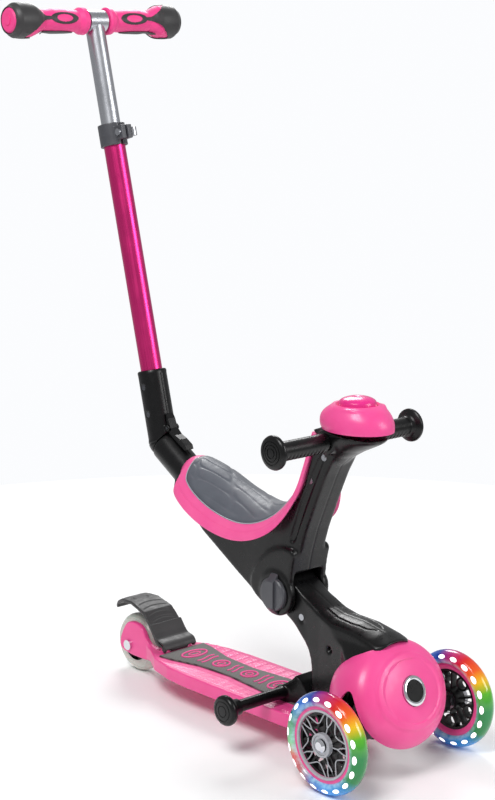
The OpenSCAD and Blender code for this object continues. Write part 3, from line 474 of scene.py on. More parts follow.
def linear(code: str) -> tuple[float, float, float, float]:
    """Turns an sRGB hex colour into the linear numbers that a shader takes.

    Args:
        code: the colour, such as "#F5559B".

    Returns:
        Red, green, blue and full alpha.
    """
    parts = [int(code.lstrip("#")[i:i + 2], 16) / 255 for i in (0, 2, 4)]
    red, green, blue = (c / 12.92 if c <= 0.04045 else ((c + 0.055) / 1.055) ** 2.4 for c in parts)
    return (red, green, blue, 1.0)


def add_node(tree: bpy.types.NodeTree, kind: str, settings: dict | None = None,
        inputs: dict | None = None) -> bpy.types.Node:
    """Adds a shader node with its settings and links.

    Args:
        tree: the material's node tree.
        kind: the node's type.
        settings: the node's own properties.
        inputs: for each input, by name or number, a value or the output that feeds it.

    Returns:
        The node.
    """
    made = tree.nodes.new(kind)
    for key, value in (settings or {}).items():
        setattr(made, key, value)
    for key, value in (inputs or {}).items():
        if isinstance(value, bpy.types.NodeSocket):
            tree.links.new(value, made.inputs[key])
        else:
            made.inputs[key].default_value = value
    return made


def fresh_tree(name: str, shader: dict) -> tuple[bpy.types.Material, bpy.types.NodeTree, bpy.types.Node,
        bpy.types.NodeSocket]:
    """Starts a material with one shader.

    Args:
        name: the material's name.
        shader: the shader's values that are the same all over.

    Returns:
        The material, its tree, the shader node, and the place on the surface in metres.
    """
    material = bpy.data.materials.new(name)
    material.use_nodes = True
    tree = material.node_tree
    tree.nodes.clear()
    surface = add_node(tree, "ShaderNodeBsdfPrincipled", inputs=shader)
    add_node(tree, "ShaderNodeOutputMaterial", inputs={"Surface": surface.outputs["BSDF"]})
    return material, tree, surface, add_node(tree, "ShaderNodeTexCoord").outputs["Object"]


def ranged(tree: bpy.types.NodeTree, value: bpy.types.NodeSocket, span: Point2,
        to: Point2) -> bpy.types.NodeSocket:
    """Spreads a number from one range to another.

    Args:
        tree: the material's node tree.
        value: the number.
        span: the range that it comes in.
        to: the range that it leaves in.

    Returns:
        The new number.
    """
    return add_node(tree, "ShaderNodeMapRange", inputs={
        "Value": value, "From Min": span[0], "From Max": span[1], "To Min": to[0], "To Max": to[1]
    }).outputs["Result"]


@dataclass(frozen=True)
class Moulding:
    """A plastic or rubber moulded in a tool, with the tool's fine texture and slow waves in its gloss.

    patch is how wide the patches of slightly different colour are, grain the size of the tool's texture and
    relief its height, all in millimetres. The real texture of these tools is 0.1 to 0.3 mm, which is too fine to
    show, so grain is drawn coarser.
    """

    name: str
    colour: str
    shade: str
    roughness: float
    grain: float = 1.2
    relief: float = 0.02
    patch: float = 45.0
    ior: float = 1.5
    coat: float = 0.0
    sheen: float = 0.0
    glow: float = 0.0

    def material(self) -> bpy.types.Material:
        """Builds the material: colour patches, gloss that wavers, and the tool's grain as bump."""
        made, tree, surface, at = fresh_tree(self.name, {
            "IOR": self.ior, "Coat Weight": self.coat, "Coat Roughness": 0.12, "Sheen Weight": self.sheen,
            "Sheen Roughness": 0.5, "Subsurface Weight": self.glow,
            "Subsurface Radius": (0.004, 0.002, 0.002),
            "Subsurface Scale": 0.6,
        })
        patches = add_node(tree, "ShaderNodeTexNoise", inputs={
            "Vector": at, "Scale": 1 / (self.patch * MM), "Detail": 3.0, "Roughness": 0.55})
        colour = add_node(tree, "ShaderNodeMix", {"data_type": "RGBA"}, {
            0: ranged(tree, patches.outputs["Fac"], (0.35, 0.65), (0, 1)),
            6: linear(self.shade), 7: linear(self.colour)})
        waver = add_node(tree, "ShaderNodeTexNoise", inputs={
            "Vector": at, "Scale": 1 / (9 * MM), "Detail": 4.0, "Roughness": 0.6})
        gloss = ranged(tree, waver.outputs["Fac"], (0.3, 0.7),
            (self.roughness * 0.82, self.roughness * 1.18))
        grain = add_node(tree, "ShaderNodeTexNoise", inputs={
            "Vector": at, "Scale": 1 / (self.grain * MM), "Detail": 2.0, "Roughness": 0.5})
        bump = add_node(tree, "ShaderNodeBump", inputs={
            "Strength": 0.6, "Distance": self.relief * MM, "Height": grain.outputs["Fac"]})
        tree.links.new(colour.outputs[2], surface.inputs["Base Color"])
        tree.links.new(gloss, surface.inputs["Roughness"])
        tree.links.new(bump.outputs["Normal"], surface.inputs["Normal"])
        return made


@dataclass(frozen=True)
class DrawnMetal:
    """A metal with fine lines along it from drawing or turning, under an anodised or plated layer.

    lines is how far apart the lines are in millimetres: real ones are finer, and are drawn this coarse to show.
    lean turns the lines' way about the x axis, and way is the axis they run along before that.
    """

    name: str
    colour: str
    shade: str
    roughness: float
    lines: float = 0.9
    lean: float = 0.0
    way: int = 2
    relief: float = 0.006
    coat: float = 0.0

    def material(self) -> bpy.types.Material:
        """Builds the material: long thin lines in colour, gloss and bump."""
        made, tree, surface, at = fresh_tree(self.name, {
            "Metallic": 1.0, "Coat Weight": self.coat, "Coat Roughness": 0.08})
        upright = add_node(tree, "ShaderNodeMapping", inputs={
            "Vector": at, "Rotation": (math.radians(self.lean), 0, 0)})
        size = [1 / (self.lines * MM)] * 3
        size[self.way] = 1 / (60 * self.lines * MM)
        stretch = add_node(tree, "ShaderNodeMapping",
            inputs={"Vector": upright.outputs[0], "Scale": tuple(size)})
        lines = add_node(tree, "ShaderNodeTexNoise", inputs={
            "Vector": stretch.outputs[0], "Scale": 1.0, "Detail": 3.0, "Roughness": 0.6})
        clouds = add_node(tree, "ShaderNodeTexNoise",
            inputs={"Vector": at, "Scale": 1 / (30 * MM), "Detail": 2.0})
        colour = add_node(tree, "ShaderNodeMix", {"data_type": "RGBA"}, {
            0: ranged(tree, lines.outputs["Fac"], (0.3, 0.7), (0, 1)),
            6: linear(self.shade), 7: linear(self.colour)})
        both = add_node(tree, "ShaderNodeMath", {"operation": "ADD"}, {
            0: lines.outputs["Fac"], 1: clouds.outputs["Fac"]})
        gloss = ranged(tree, both.outputs[0], (0.7, 1.3), (self.roughness * 0.8, self.roughness * 1.25))
        bump = add_node(tree, "ShaderNodeBump", inputs={
            "Strength": 0.5, "Distance": self.relief * MM, "Height": lines.outputs["Fac"]})
        tree.links.new(colour.outputs[2], surface.inputs["Base Color"])
        tree.links.new(gloss, surface.inputs["Roughness"])
        tree.links.new(bump.outputs["Normal"], surface.inputs["Normal"])
        return made


@dataclass(frozen=True)
class GlowingTyre:
    """Clear cast polyurethane over a ring of coloured lights, which fills with their colours.

    centre is the wheel's (y, z), colours are (share of a turn from the front upwards, hex), and inner and outer are
    the radii between which the tyre fades from the pale body near the rim to the colour of the lights.
    """

    name: str
    centre: Point2
    colours: tuple[tuple[float, str], ...]
    inner: float = 45.0
    outer: float = 52.0

    def material(self) -> bpy.types.Material:
        """Builds the material: colours round the wheel, paler near the rim, lit from within."""
        made, tree, surface, at = fresh_tree(self.name, {
            "IOR": 1.49, "Roughness": 0.16, "Coat Weight": 0.5, "Coat Roughness": 0.06,
            "Emission Strength": 0.14})
        apart = add_node(tree, "ShaderNodeSeparateXYZ", inputs={"Vector": at})
        ahead = add_node(tree, "ShaderNodeMath", {"operation": "SUBTRACT"}, {
            0: self.centre[0] * MM, 1: apart.outputs["Y"]}).outputs[0]
        above = add_node(tree, "ShaderNodeMath", {"operation": "SUBTRACT"}, {
            0: apart.outputs["Z"], 1: self.centre[1] * MM}).outputs[0]
        angle = add_node(tree, "ShaderNodeMath", {"operation": "ARCTAN2"}, {0: above, 1: ahead}).outputs[0]
        turn = add_node(tree, "ShaderNodeMath", {"operation": "FRACT"}, {
            0: add_node(tree, "ShaderNodeMath", {"operation": "MULTIPLY_ADD"}, {
                0: angle, 1: 1 / (2 * math.pi), 2: 1.0}).outputs[0]}).outputs[0]
        ramp = add_node(tree, "ShaderNodeValToRGB", inputs={"Fac": turn})
        stops = ramp.color_ramp.elements
        for i, (share, code) in enumerate(self.colours):
            stop = stops[i] if i < 2 else stops.new(share)
            stop.position, stop.color = share, linear(code)
        far = add_node(tree, "ShaderNodeMath", {"operation": "SQRT"}, {
            0: add_node(tree, "ShaderNodeMath", {"operation": "MULTIPLY_ADD"}, {
                0: ahead, 1: ahead,
                2: add_node(tree, "ShaderNodeMath", {"operation": "MULTIPLY"},
                    {0: above, 1: above}).outputs[0],
            }).outputs[0]}).outputs[0]
        clouds = add_node(tree, "ShaderNodeTexNoise",
            inputs={"Vector": at, "Scale": 1 / (7 * MM), "Detail": 3.0})
        haze = ranged(tree, far, (self.inner * MM, self.outer * MM), (0.55, 0.0))
        veil = add_node(tree, "ShaderNodeMath", {"operation": "MULTIPLY", "use_clamp": True}, {
            0: haze, 1: ranged(tree, clouds.outputs["Fac"], (0.3, 0.6), (0.3, 1.2))}).outputs[0]
        body = add_node(tree, "ShaderNodeMix", {"data_type": "RGBA"}, {
            0: veil, 6: ramp.outputs["Color"], 7: linear("#C4F0FA")})
        bump = add_node(tree, "ShaderNodeBump", inputs={
            "Strength": 0.4, "Distance": 0.03 * MM, "Height": clouds.outputs["Fac"]})
        tree.links.new(body.outputs[2], surface.inputs["Base Color"])
        tree.links.new(body.outputs[2], surface.inputs["Emission Color"])
        tree.links.new(bump.outputs["Normal"], surface.inputs["Normal"])
        return made


@dataclass(frozen=True)
class LightSpot:
    """The white heart of a light behind clear plastic."""

    name: str
    colour: str
    power: float

    def material(self) -> bpy.types.Material:
        """Builds the material: white light that is a little uneven."""
        made, tree, surface, at = fresh_tree(self.name,
            {"Roughness": 0.3, "Emission Color": linear(self.colour)})
        spots = add_node(tree, "ShaderNodeTexNoise", inputs={"Vector": at, "Scale": 1 / (3 * MM)})
        shine = ranged(tree, spots.outputs["Fac"], (0.3, 0.7), (self.power * 0.85, self.power * 1.1))
        tint = add_node(tree, "ShaderNodeMix", {"data_type": "RGBA"}, {
            0: spots.outputs["Fac"], 6: linear("#EAF6FF"), 7: linear(self.colour)})
        tree.links.new(tint.outputs[2], surface.inputs["Base Color"])
        tree.links.new(shine, surface.inputs["Emission Strength"])
        return made


@dataclass(frozen=True)
class RibbedMat:
    """Soft thermoplastic rubber in fine ridges along the deck, with painted shade in the grooves between them.

    pitch is the distance between the ridges in millimetres, and axis the one that they are counted along.
    """

    name: str
    colour: str
    shade: str
    roughness: float
    pitch: float
    axis: str = "X"
    relief: float = 0.25

    def material(self) -> bpy.types.Material:
        """Builds the material: painted shade in the grooves between ridges, dust-dry gloss and a fine grain."""
        made, tree, surface, at = fresh_tree(self.name,
            {"IOR": 1.5, "Sheen Weight": 0.15, "Sheen Roughness": 0.6})
        wave = add_node(tree, "ShaderNodeTexWave", {
            "wave_type": "BANDS", "bands_direction": self.axis, "wave_profile": "SIN"}, {
            "Vector": at, "Scale": math.pi / 10 / (self.pitch * MM), "Distortion": 0.0})
        grain = add_node(tree, "ShaderNodeTexNoise", inputs={
            "Vector": at, "Scale": 1 / (1.1 * MM), "Detail": 2.0})
        # Painted shade: the colour falls to the darker one in the grooves between the ridges
        colour = add_node(tree, "ShaderNodeMix", {"data_type": "RGBA"}, {
            0: ranged(tree, wave.outputs["Fac"], (0.15, 0.6), (0, 1)), 6: linear(self.shade),
            7: linear(self.colour)})
        height = add_node(tree, "ShaderNodeMath", {"operation": "MULTIPLY_ADD"}, {
            0: grain.outputs["Fac"], 1: 0.12, 2: wave.outputs["Fac"]})
        bump = add_node(tree, "ShaderNodeBump", inputs={
            "Strength": 0.8, "Distance": self.relief * MM, "Height": height.outputs[0]})
        gloss = ranged(tree, grain.outputs["Fac"], (0.3, 0.7),
            (self.roughness * 0.85, self.roughness * 1.15))
        tree.links.new(colour.outputs[2], surface.inputs["Base Color"])
        tree.links.new(gloss, surface.inputs["Roughness"])
        tree.links.new(bump.outputs["Normal"], surface.inputs["Normal"])
        return made


FRONT_AXLE: Point2 = (-260.5, 60.5)
REAR_AXLE: Point2 = (209.5, 40.0)
BAR_LEAN = 14.0

# Lights round the wheel, from the front upwards: green, yellow, red, violet, blue, green, red, blue
WHEEL_COLOURS = (
    (0.0, "#057C3A"), (0.06, "#52A821"), (0.10, "#E0B210"), (0.14, "#E0560C"), (0.19, "#CC1512"),
    (0.26, "#A1307E"), (0.30, "#183F9E"), (0.37, "#0E6ECA"), (0.45, "#0A7C3E"), (0.53, "#70C07A"),
    (0.58, "#D83A2E"), (0.66, "#A22A3A"), (0.70, "#0F4AAA"), (0.78, "#078ADE"), (0.86, "#0780C2"),
    (0.91, "#057C3A"), (1.0, "#057C3A"),
)


class Slot(Enum):
    """The finishes, by the names of the record's material slots."""

    # Gloss polypropylene, moulded in colour: soft broad highlights and a slight glow at thin edges
    PINK = "pink_plastic"
    TRIM = "trim_plastic"
    BUTTON = "button_plastic"
    # Thermoplastic rubber, moulded: dry, with a velvety rim of light
    GRIP = "grip_rubber"
    DARK = "dark_rubber"
    MAT = "mat_rubber"
    PAD = "pad_rubber"
    # Glass-filled nylon, moulded: deep black under a satin skin
    BLACK = "black_plastic"
    KNOB = "knob_plastic"
    SPOKE = "spoke_plastic"
    # Drawn aluminium tube, anodised in colour and clear
    TUBE = "pink_metal"
    BARE = "bare_aluminium"
    # Steel parts: zinc plated, chromed, and oiled spring wire
    ZINC = "zinc_steel"
    CHROME = "chrome"
    SPRING = "spring_steel"
    # Cast polyurethane, clear in front and ivory behind
    CLEAR = "tyre_clear"
    IVORY = "tyre_ivory"


FINISHES = {
    Slot.PINK: Moulding("Polypropylene_gloss_pink", "#F4539B", "#F04A94", 0.34, relief=0.012, coat=0.12,
        glow=0.06),
    Slot.TRIM: Moulding("Polypropylene_satin_pink", "#F6609F", "#F2559A", 0.38, relief=0.015, coat=0.08,
        glow=0.06),
    Slot.BUTTON: Moulding("ABS_gloss_deep_pink", "#EA2B8C", "#E22384", 0.26, relief=0.008, coat=0.2,
        glow=0.04),
    Slot.GRIP: Moulding("TPR_moulded_pink", "#F6408F", "#EE3787", 0.5, relief=0.03, sheen=0.1, glow=0.05),
    Slot.DARK: Moulding("TPR_moulded_dark_grey", "#333233", "#2A292A", 0.48, relief=0.035, sheen=0.12),
    # The mat's second colour, #393735, is painted shade for the grooves between its ridges
    Slot.MAT: RibbedMat("TPR_ribbed_mat_grey", "#5E5B58", "#393735", 0.62, 3.2),
    Slot.PAD: Moulding("TPR_moulded_blue_grey", "#565B64", "#4B5059", 0.46, relief=0.03, sheen=0.15),
    Slot.BLACK: Moulding("Nylon_glass_filled_black", "#0B0B0C", "#070708", 0.3, grain=1.0, relief=0.02,
        ior=1.4),
    Slot.KNOB: Moulding("ABS_moulded_charcoal", "#4C4D52", "#434449", 0.34, relief=0.02),
    Slot.SPOKE: Moulding("Nylon_moulded_wheel_black", "#0C0C0D", "#070708", 0.4, grain=0.9, relief=0.03,
        ior=1.42),
    Slot.TUBE: DrawnMetal("Aluminium_anodised_pink", "#EE3D8A", "#E42F80", 0.3, lean=BAR_LEAN, coat=0.15,
        relief=0.002),
    Slot.BARE: DrawnMetal("Aluminium_anodised_clear", "#C6C8CD", "#BCBEC4", 0.3, lean=BAR_LEAN,
        relief=0.002),
    Slot.ZINC: DrawnMetal("Steel_zinc_plated", "#B9BBC0", "#9EA0A6", 0.28, lines=0.5, way=0),
    Slot.CHROME: DrawnMetal("Steel_chromed", "#E4E6EA", "#D5D7DC", 0.1, lines=0.6, way=0, relief=0.003),
    Slot.SPRING: DrawnMetal("Steel_spring_oiled", "#6A6B70", "#55565B", 0.35, lines=0.8, way=1),
    Slot.CLEAR: GlowingTyre("Polyurethane_clear_lit", FRONT_AXLE, WHEEL_COLOURS),
    Slot.IVORY: Moulding("Polyurethane_cast_ivory", "#D9DBD2", "#C9CCC2", 0.3, relief=0.02, coat=0.25,
        glow=0.25),
}
EXTRA = {
    "light": LightSpot("Lamp_white", "#FFFFFF", 1.15),
    # ABS painted silver: greyer and softer in its shine than real metal
    "silver": Moulding("ABS_silver_painted", "#B4B5BA", "#A2A3A9", 0.3, relief=0.01, coat=0.3),
    # Thermoplastic rubber in pale grey, for the thin line round the pad
    "pale": Moulding("TPR_pale_grey_piping", "#A9ADB5", "#9CA0A8", 0.45, relief=0.01),
    # The same rubber as the mat, in the scooter's pink
    "motif": Moulding("TPR_moulded_pink_motif", "#F0559A", "#E84C92", 0.5, relief=0.02),
}


class Wardrobe:
    """Makes each finish's material once and puts it on pieces."""

    def __init__(self) -> None:
        """Starts with no material made."""
        self._made: dict[str, bpy.types.Material] = {}

    def material(self, finish: Slot | str) -> bpy.types.Material:
        """The material of a slot or of an extra finish, made when it is first asked for."""
        source = FINISHES[finish] if isinstance(finish, Slot) else EXTRA[finish]
        if source.name not in self._made:
            self._made[source.name] = source.material()
        return self._made[source.name]

    def dress(self, piece: bpy.types.Object, finish: Slot | str,
            slot: Slot | None = None) -> bpy.types.Object:
        """Gives a piece its material.

        Args:
            piece: the object.
            finish: a slot's finish, or the name of an extra one.
            slot: not used.

        Returns:
            The piece.
        """
        piece.data.materials.clear()
        piece.data.materials.append(self.material(finish))
        return piece

    def dress_node(self, node_name: str, slot: Slot) -> None:
        """Gives a node of the model its material, in every slot of the node's object."""
        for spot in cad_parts[node_name].material_slots:
            spot.link = "OBJECT"
            spot.material = self.material(slot)


class SubAssembly:
    """A group of pieces that are made, dressed and hung on the model together."""

    kept: dict[str, Slot] = {}

    def __init__(self, wardrobe: Wardrobe) -> None:
        """Keeps the finishes, and starts with no piece."""
        self.wardrobe = wardrobe
        self.pieces: list[bpy.types.Object] = []

    def hang(self, piece: bpy.types.Object, body: str, finish: Slot | str, *nodes: str,
            slot: Slot | None = None) -> bpy.types.Object:
        """Dresses a piece and makes it move with a body.

        Args:
            piece: the object, in its place.
            body: the body's name.
            finish: a slot's finish, or the name of an extra one.
            nodes: the model's nodes that it stands for.
            slot: the slot, where the finish is an extra one.

        Returns:
            The piece.
        """
        self.wardrobe.dress(piece, finish, slot)
        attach(piece, body)
        if nodes:
            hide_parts(*nodes)
        self.pieces.append(piece)
        return piece

    def build(self) -> None:
        """Makes the pieces. Each sub-assembly has its own."""

    def dress_kept(self) -> None:
        """Dresses the model's own nodes that stay in sight."""
        for node_name, slot in self.kept.items():
            self.wardrobe.dress_node(node_name, slot)


# ------------------------------------------------------------------ wheels


@dataclass
class FrontWheelSizes:
    """Sizes of a front wheel."""

    track: float = 108.5
    radius: float = 60.5
    width: float = 24.0
    rim: float = 45.0
    lamps: int = 18
    lamp_at: float = 53.8
    loops: int = 5


class FrontWheel(SubAssembly):
    """A front wheel: lit clear tyre, pink rim, black web with silver-painted edges, bearings and bolt."""

    def __init__(self, wardrobe: Wardrobe, side: Side) -> None:
        """Picks the side and the nodes that stay."""
        super().__init__(wardrobe)
        self.side = side
        self.sizes = FrontWheelSizes()
        self.body = f"wheel_front_{side.word}"
        self.hub = across((side.value * self.sizes.track, *FRONT_AXLE), side)
        self.kept = {
            f"front_rim_{side.word}": Slot.PINK,
            f"front_spokes_{side.word}": Slot.SPOKE,
            f"front_bearings_{side.word}": Slot.ZINC,
        }

    def side_height(self, radius: float) -> float:
        """How far the tyre's side stands out from the wheel's middle at a radius."""
        s = self.sizes
        crown = s.radius - s.width / 2
        if radius > crown:
            return math.sqrt(max((s.width / 2) ** 2 - (radius - crown) ** 2, 0))
        return s.width / 2 - 3.3 * ((crown - radius) / (crown - s.rim)) ** 2

    def tyre(self) -> bpy.types.Object:
        """The tyre: a round tread, sides that draw in to the rim, and two fine ridges from the tool."""
        s = self.sizes
        radii = [s.rim + (s.radius - s.rim) * (1 - (1 - k / 26) ** 1.6) for k in range(27)]
        out = []
        for r in radii:
            ridge = 0.35 if abs(r - 57.2) < 0.5 or abs(r - 47.2) < 0.5 else 0.0
            out.append((r, self.side_height(r) + ridge * 0.6))
        profile = [(r, h) for r, h in out] + [(r, -h) for r, h in reversed(out[:-1])]
        return turned(f"tyre_{self.side.word}", profile, self.hub, 144, ring=True)

    def lamps(self) -> bpy.types.Object:
        """The hearts of the lights, long ovals set round both sides of the tyre."""
        s = self.sizes
        points, faces = [], []
        for face_side in (1, -1):
            for k in range(s.lamps):
                middle = 2 * math.pi * (k + 0.4) / s.lamps
                base = len(points)
                rings, steps = 4, 20
                for i in range(rings + 1):
                    share = i / rings
                    for j in range(steps if i else 1):
                        a = 2 * math.pi * j / steps
                        along, out = 6.4 * share * math.cos(a), 3.0 * share * math.sin(a)
                        r = s.lamp_at + out
                        turn = middle + along / s.lamp_at
                        lift = self.side_height(r) + 0.22 * (1 - share ** 2) - (0.35 if i == rings else 0)
                        points.append(self.hub @ Vector((r * math.cos(turn), r * math.sin(turn),
                            face_side * lift)))
                faces += [[base, base + 1 + j, base + 1 + (j + 1) % steps] for j in range(steps)]
                faces += [
                    [base + 1 + i * steps + j, base + 1 + (i + 1) * steps + j,
                     base + 1 + (i + 1) * steps + (j + 1) % steps, base + 1 + i * steps + (j + 1) % steps]
                    for i in range(rings - 1) for j in range(steps)
                ]
        return new_mesh(f"lamps_{self.side.word}", points, faces, 60)

    def web_edges(self) -> list[bpy.types.Object]:
        """The silver-painted edges of the web: a ring, five loops, and spokes that fork between them."""
        s, level = self.sizes, 5.7
        reach = s.rim - 6.6
        lines: list[list[Point2]] = []
        for k in range(s.loops):
            a = 2 * math.pi * k / s.loops + 0.35
            loop = [(reach * math.cos(a - 0.40), reach * math.sin(a - 0.40))]
            for i in range(17):
                t = -1 + i / 8
                dip = (1 - abs(t) ** 2.6) * 13.5
                r = reach - dip
                turn = a + 0.40 * t * (0.70 + 0.30 * abs(t))
                loop.append((r * math.cos(turn), r * math.sin(turn)))
            lines.append(loop)
            b = a + math.pi / s.loops
            fork = 23.0
            lines.append([(14.0 * math.cos(b), 14.0 * math.sin(b)),
                (fork * math.cos(b), fork * math.sin(b))])
            for way in (-1, 1):
                lines.append([
                    (r * math.cos(b + way * bend), r * math.sin(b + way * bend))
                    for r, bend in ((fork - 0.5, 0.0), (fork + 4, 0.08), (fork + 9, 0.12), (reach, 0.115))
                ])
        parts = [rod("edge", [self.hub @ Vector((x, y, level)) for x, y in line], 0.8, sides=8)
            for line in lines]
        edges = joined(f"web_edges_{self.side.word}", parts)
        edges.data.shade_smooth()
        ring = turned(f"rim_ring_{self.side.word}", [
            (38.0, 4.6), (38.0, 7.6), (38.6, 8.6), (40.6, 8.8), (41.2, 8.4), (41.2, 6.2), (39.0, 4.6)
        ], self.hub, 144, ring=True)
        hub = turned(f"hub_cap_{self.side.word}", [
            (11.3, 8.0), (11.3, 10.6), (12.0, 11.3), (13.6, 11.3), (14.4, 10.6), (14.4, 5.0), (13.4, 5.0),
            (13.4, 8.0)
        ], self.hub, 72, ring=True)
        return [edges, ring, hub]

    def build(self) -> None:
        """Makes the tyre, its lights, and the web's painted edges."""
        tyre_node = f"front_tyre_{self.side.word}"
        self.hang(self.tyre(), self.body, Slot.CLEAR, tyre_node)
        self.hang(self.lamps(), self.body, "light", slot=Slot.CLEAR)
        for piece in self.web_edges():
            self.hang(piece, self.body, "silver", slot=Slot.SPOKE)


class RearWheel(SubAssembly):
    """The rear wheel: the model's own parts, with a moulded ridge added on each side of the tyre."""

    kept = {"rear_tyre": Slot.IVORY, "rear_hub": Slot.SPOKE, "rear_bearings": Slot.ZINC,
        "rear_axle": Slot.CHROME}

    def build(self) -> None:
        """Adds the ridge that the tool leaves round each side of the tyre."""
        hub = across((0.0, *REAR_AXLE), Side.RIGHT)
        rings = [
            turned("ridge", [(31.0, s * 11.0), (31.6, s * 11.75), (33.4, s * 11.75), (34.0, s * 10.5)], hub,
                96, ring=True)
            for s in (-1, 1)
        ]
        self.hang(joined("rear_tyre_ridges", rings), "wheel_rear", Slot.IVORY)


# ------------------------------------------------------------------ deck and brake


@dataclass
class DeckSizes:
    """Sizes of the deck."""

    half: float = 58.0
    top: float = 48.0
    mat_top: float = 50.5
    rib_pitch: float = 5.0


class Deck(SubAssembly):
    """The deck: a pink tray with ribbed margins, and a mat with a pattern in relief."""

    sizes = DeckSizes()
    mat_line = ((30.0, -138.5), (29.0, -70.5), (21.0, 4.5), (24.0, 59.5), (36.0, 104.5), (38.5, 124.5))

    def mat_half(self, y: np.ndarray) -> np.ndarray:
        """The mat's half width along the deck, eased from point to point."""
        return np.interp(y, [p[1] for p in self.mat_line], [p[0] for p in self.mat_line])

    def tray(self) -> bpy.types.Object:
        """The tray with rounded edges and fine ribs in the margins of its top."""
        body = softened(from_node("deck_tray", "deck"), 1.15, 4)
        s = self.sizes

        def ribs(at: np.ndarray, normal: np.ndarray) -> np.ndarray:
            """Raises ribs outside the mat: across the deck on its right, and along it on its left."""
            x, y, z = at.T
            flat = (normal[:, 2] > 0.9) & (z > s.top - 1.2) & (y < 125) & (y > -150)
            margin = np.minimum(abs(x) - self.mat_half(y) - 3.5, s.half - 6.0 - abs(x))
            cross = smooth_step(-0.35, 0.35, np.cos(2 * math.pi * y / s.rib_pitch)) * smooth_step(8, 10,
                abs(x) - self.mat_half(y))
            along = smooth_step(-0.35, 0.35, np.cos(2 * math.pi * (abs(x) - 32) / 4.2))
            along *= smooth_step(-0.8, -0.6, np.cos(2 * math.pi * y / 18.0))
            wave = np.where(x < 0, cross, along)
            at[:, 2] += np.where(flat, 0.75 * wave * smooth_step(0, 1.0, margin), 0)
            return at

        return reshaped(body, ribs)

    def mat(self) -> bpy.types.Object:
        """The mat: an hourglass with rounded upper edges."""
        s, rings = self.sizes, []
        length = np.linspace(self.mat_line[0][1], self.mat_line[-1][1], 60)
        edge = [(float(self.mat_half(y)), float(y)) for y in length]
        outline = mirrored(edge)
        middle = (0.0, (self.mat_line[0][1] + self.mat_line[-1][1]) / 2)
        for drop, draw in ((2.45, 0.0), (0.8, 0.0), (0.25, 0.35), (0.0, 1.1)):
            rings.append([
                (x - math.copysign(draw, x),
                    y - math.copysign(min(draw, abs(y - middle[1])), y - middle[1]), s.mat_top - drop)
                for x, y in outline
            ])
        return lofted("mat_skin", rings, crease=50)

    def motif(self) -> bpy.types.Object:
        """Rings and bars in relief down the middle of the mat."""
        parts, z = [], self.sizes.mat_top
        for i, y in enumerate(np.linspace(-118, 98, 9)):
            half = float(self.mat_half(y)) - 7
            if i % 2 == 0:
                oval = [(half * 0.72 * math.cos(a), y + 10.5 * math.sin(a), z + 0.15)
                    for a in np.linspace(0, 2 * math.pi, 48, endpoint=False)]
                parts.append(rod("oval", oval, 1.5, closed=True, sides=8))
                inner = [(half * 0.34 * math.cos(a), y + 4.4 * math.sin(a), z + 0.1)
                    for a in np.linspace(0, 2 * math.pi, 32, endpoint=False)]
                parts.append(rod("oval", inner, 1.1, closed=True, sides=8))
            else:
                for way in (-1, 1):
                    wave = [(half * t, y + way * 4.2 + 2.2 * math.sin(3 * t), z + 0.1)
                        for t in np.linspace(-0.8, 0.8, 25)]
                    parts.append(rod("wave", wave, 1.2, sides=8))
        made = joined("mat_motif", parts)
        made.data.shade_smooth()
        return made

    def build(self) -> None:
        """Makes the tray, the mat and its pattern."""
        self.hang(self.tray(), "chassis", Slot.PINK, "deck")
        self.hang(self.mat(), "chassis", Slot.MAT, "deck_mat")
        self.hang(self.motif(), "chassis", "motif", slot=Slot.PINK)


@dataclass
class BrakeSizes:
    """Sizes of the fender: the waves and the ring on it, and half the width of its apron."""

    wave: float = 13.0
    ring_at: float = 212.0
    ring: float = 11.0
    apron_half: float = 27.4


class Brake(SubAssembly):
    """The foot brake over the rear wheel: a dark fender with moulded waves, its pin and spring."""

    kept = {"brake_pin": Slot.ZINC, "brake_spring": Slot.SPRING}
    sizes = BrakeSizes()
    apron_top = (
        (125.5, 53.4), (128.5, 59.4), (133, 62.2), (138, 63.2), (143, 64.2), (148, 68.6), (153, 75.2),
        (158, 81.6),
    )
    apron_under = (
        (159.2, 80.2), (154.4, 74.0), (149.4, 67.4), (143.8, 62.4), (138.4, 61.4), (133.6, 60.4),
        (130, 58.2),
        (127.4, 52.8),
    )

    def fender(self) -> bpy.types.Object:
        """The fender with rounded edges, waves across it and a ring where the foot presses."""
        s = self.sizes
        body = softened(from_node("fender_skin", "brake_fender"), 1.1, 5)

        def waves(at: np.ndarray, normal: np.ndarray) -> np.ndarray:
            """Presses waves and a ring into the upper face."""
            x, y, z = at.T
            outer = smooth_step(0.25, 0.6, normal[:, 2]) * (1 - smooth_step(17, 22, abs(x)))
            along = y + 0.8 * z
            wave = np.cos(2 * math.pi * (along + 0.012 * x ** 2) / s.wave)
            from_middle = np.hypot(x, (y - s.ring_at) * 1.1)
            cut = 0.55 * smooth_step(0.2, 0.9, wave) * smooth_step(s.ring + 1.5, s.ring + 4, from_middle)
            cut += 0.8 * (1 - smooth_step(0.6, 1.8, abs(from_middle - s.ring))) * (z > 90)
            return at - normal * (outer * cut)[:, None]

        return reshaped(body, waves)

    def apron(self) -> bpy.types.Object:
        """The apron of the fender, which runs on over the hinge down to the mat."""
        outline = rounded([*self.apron_top, *self.apron_under], 1)
        half = self.sizes.apron_half
        return softened(prism("brake_apron", outline, -half, half), 0.6, 3)

    def build(self) -> None:
        """Makes the fender and its apron."""
        self.hang(self.fender(), "brake", Slot.DARK, "brake_fender")
        self.hang(self.apron(), "brake", Slot.DARK)


# ------------------------------------------------------------------ nose, head and stem


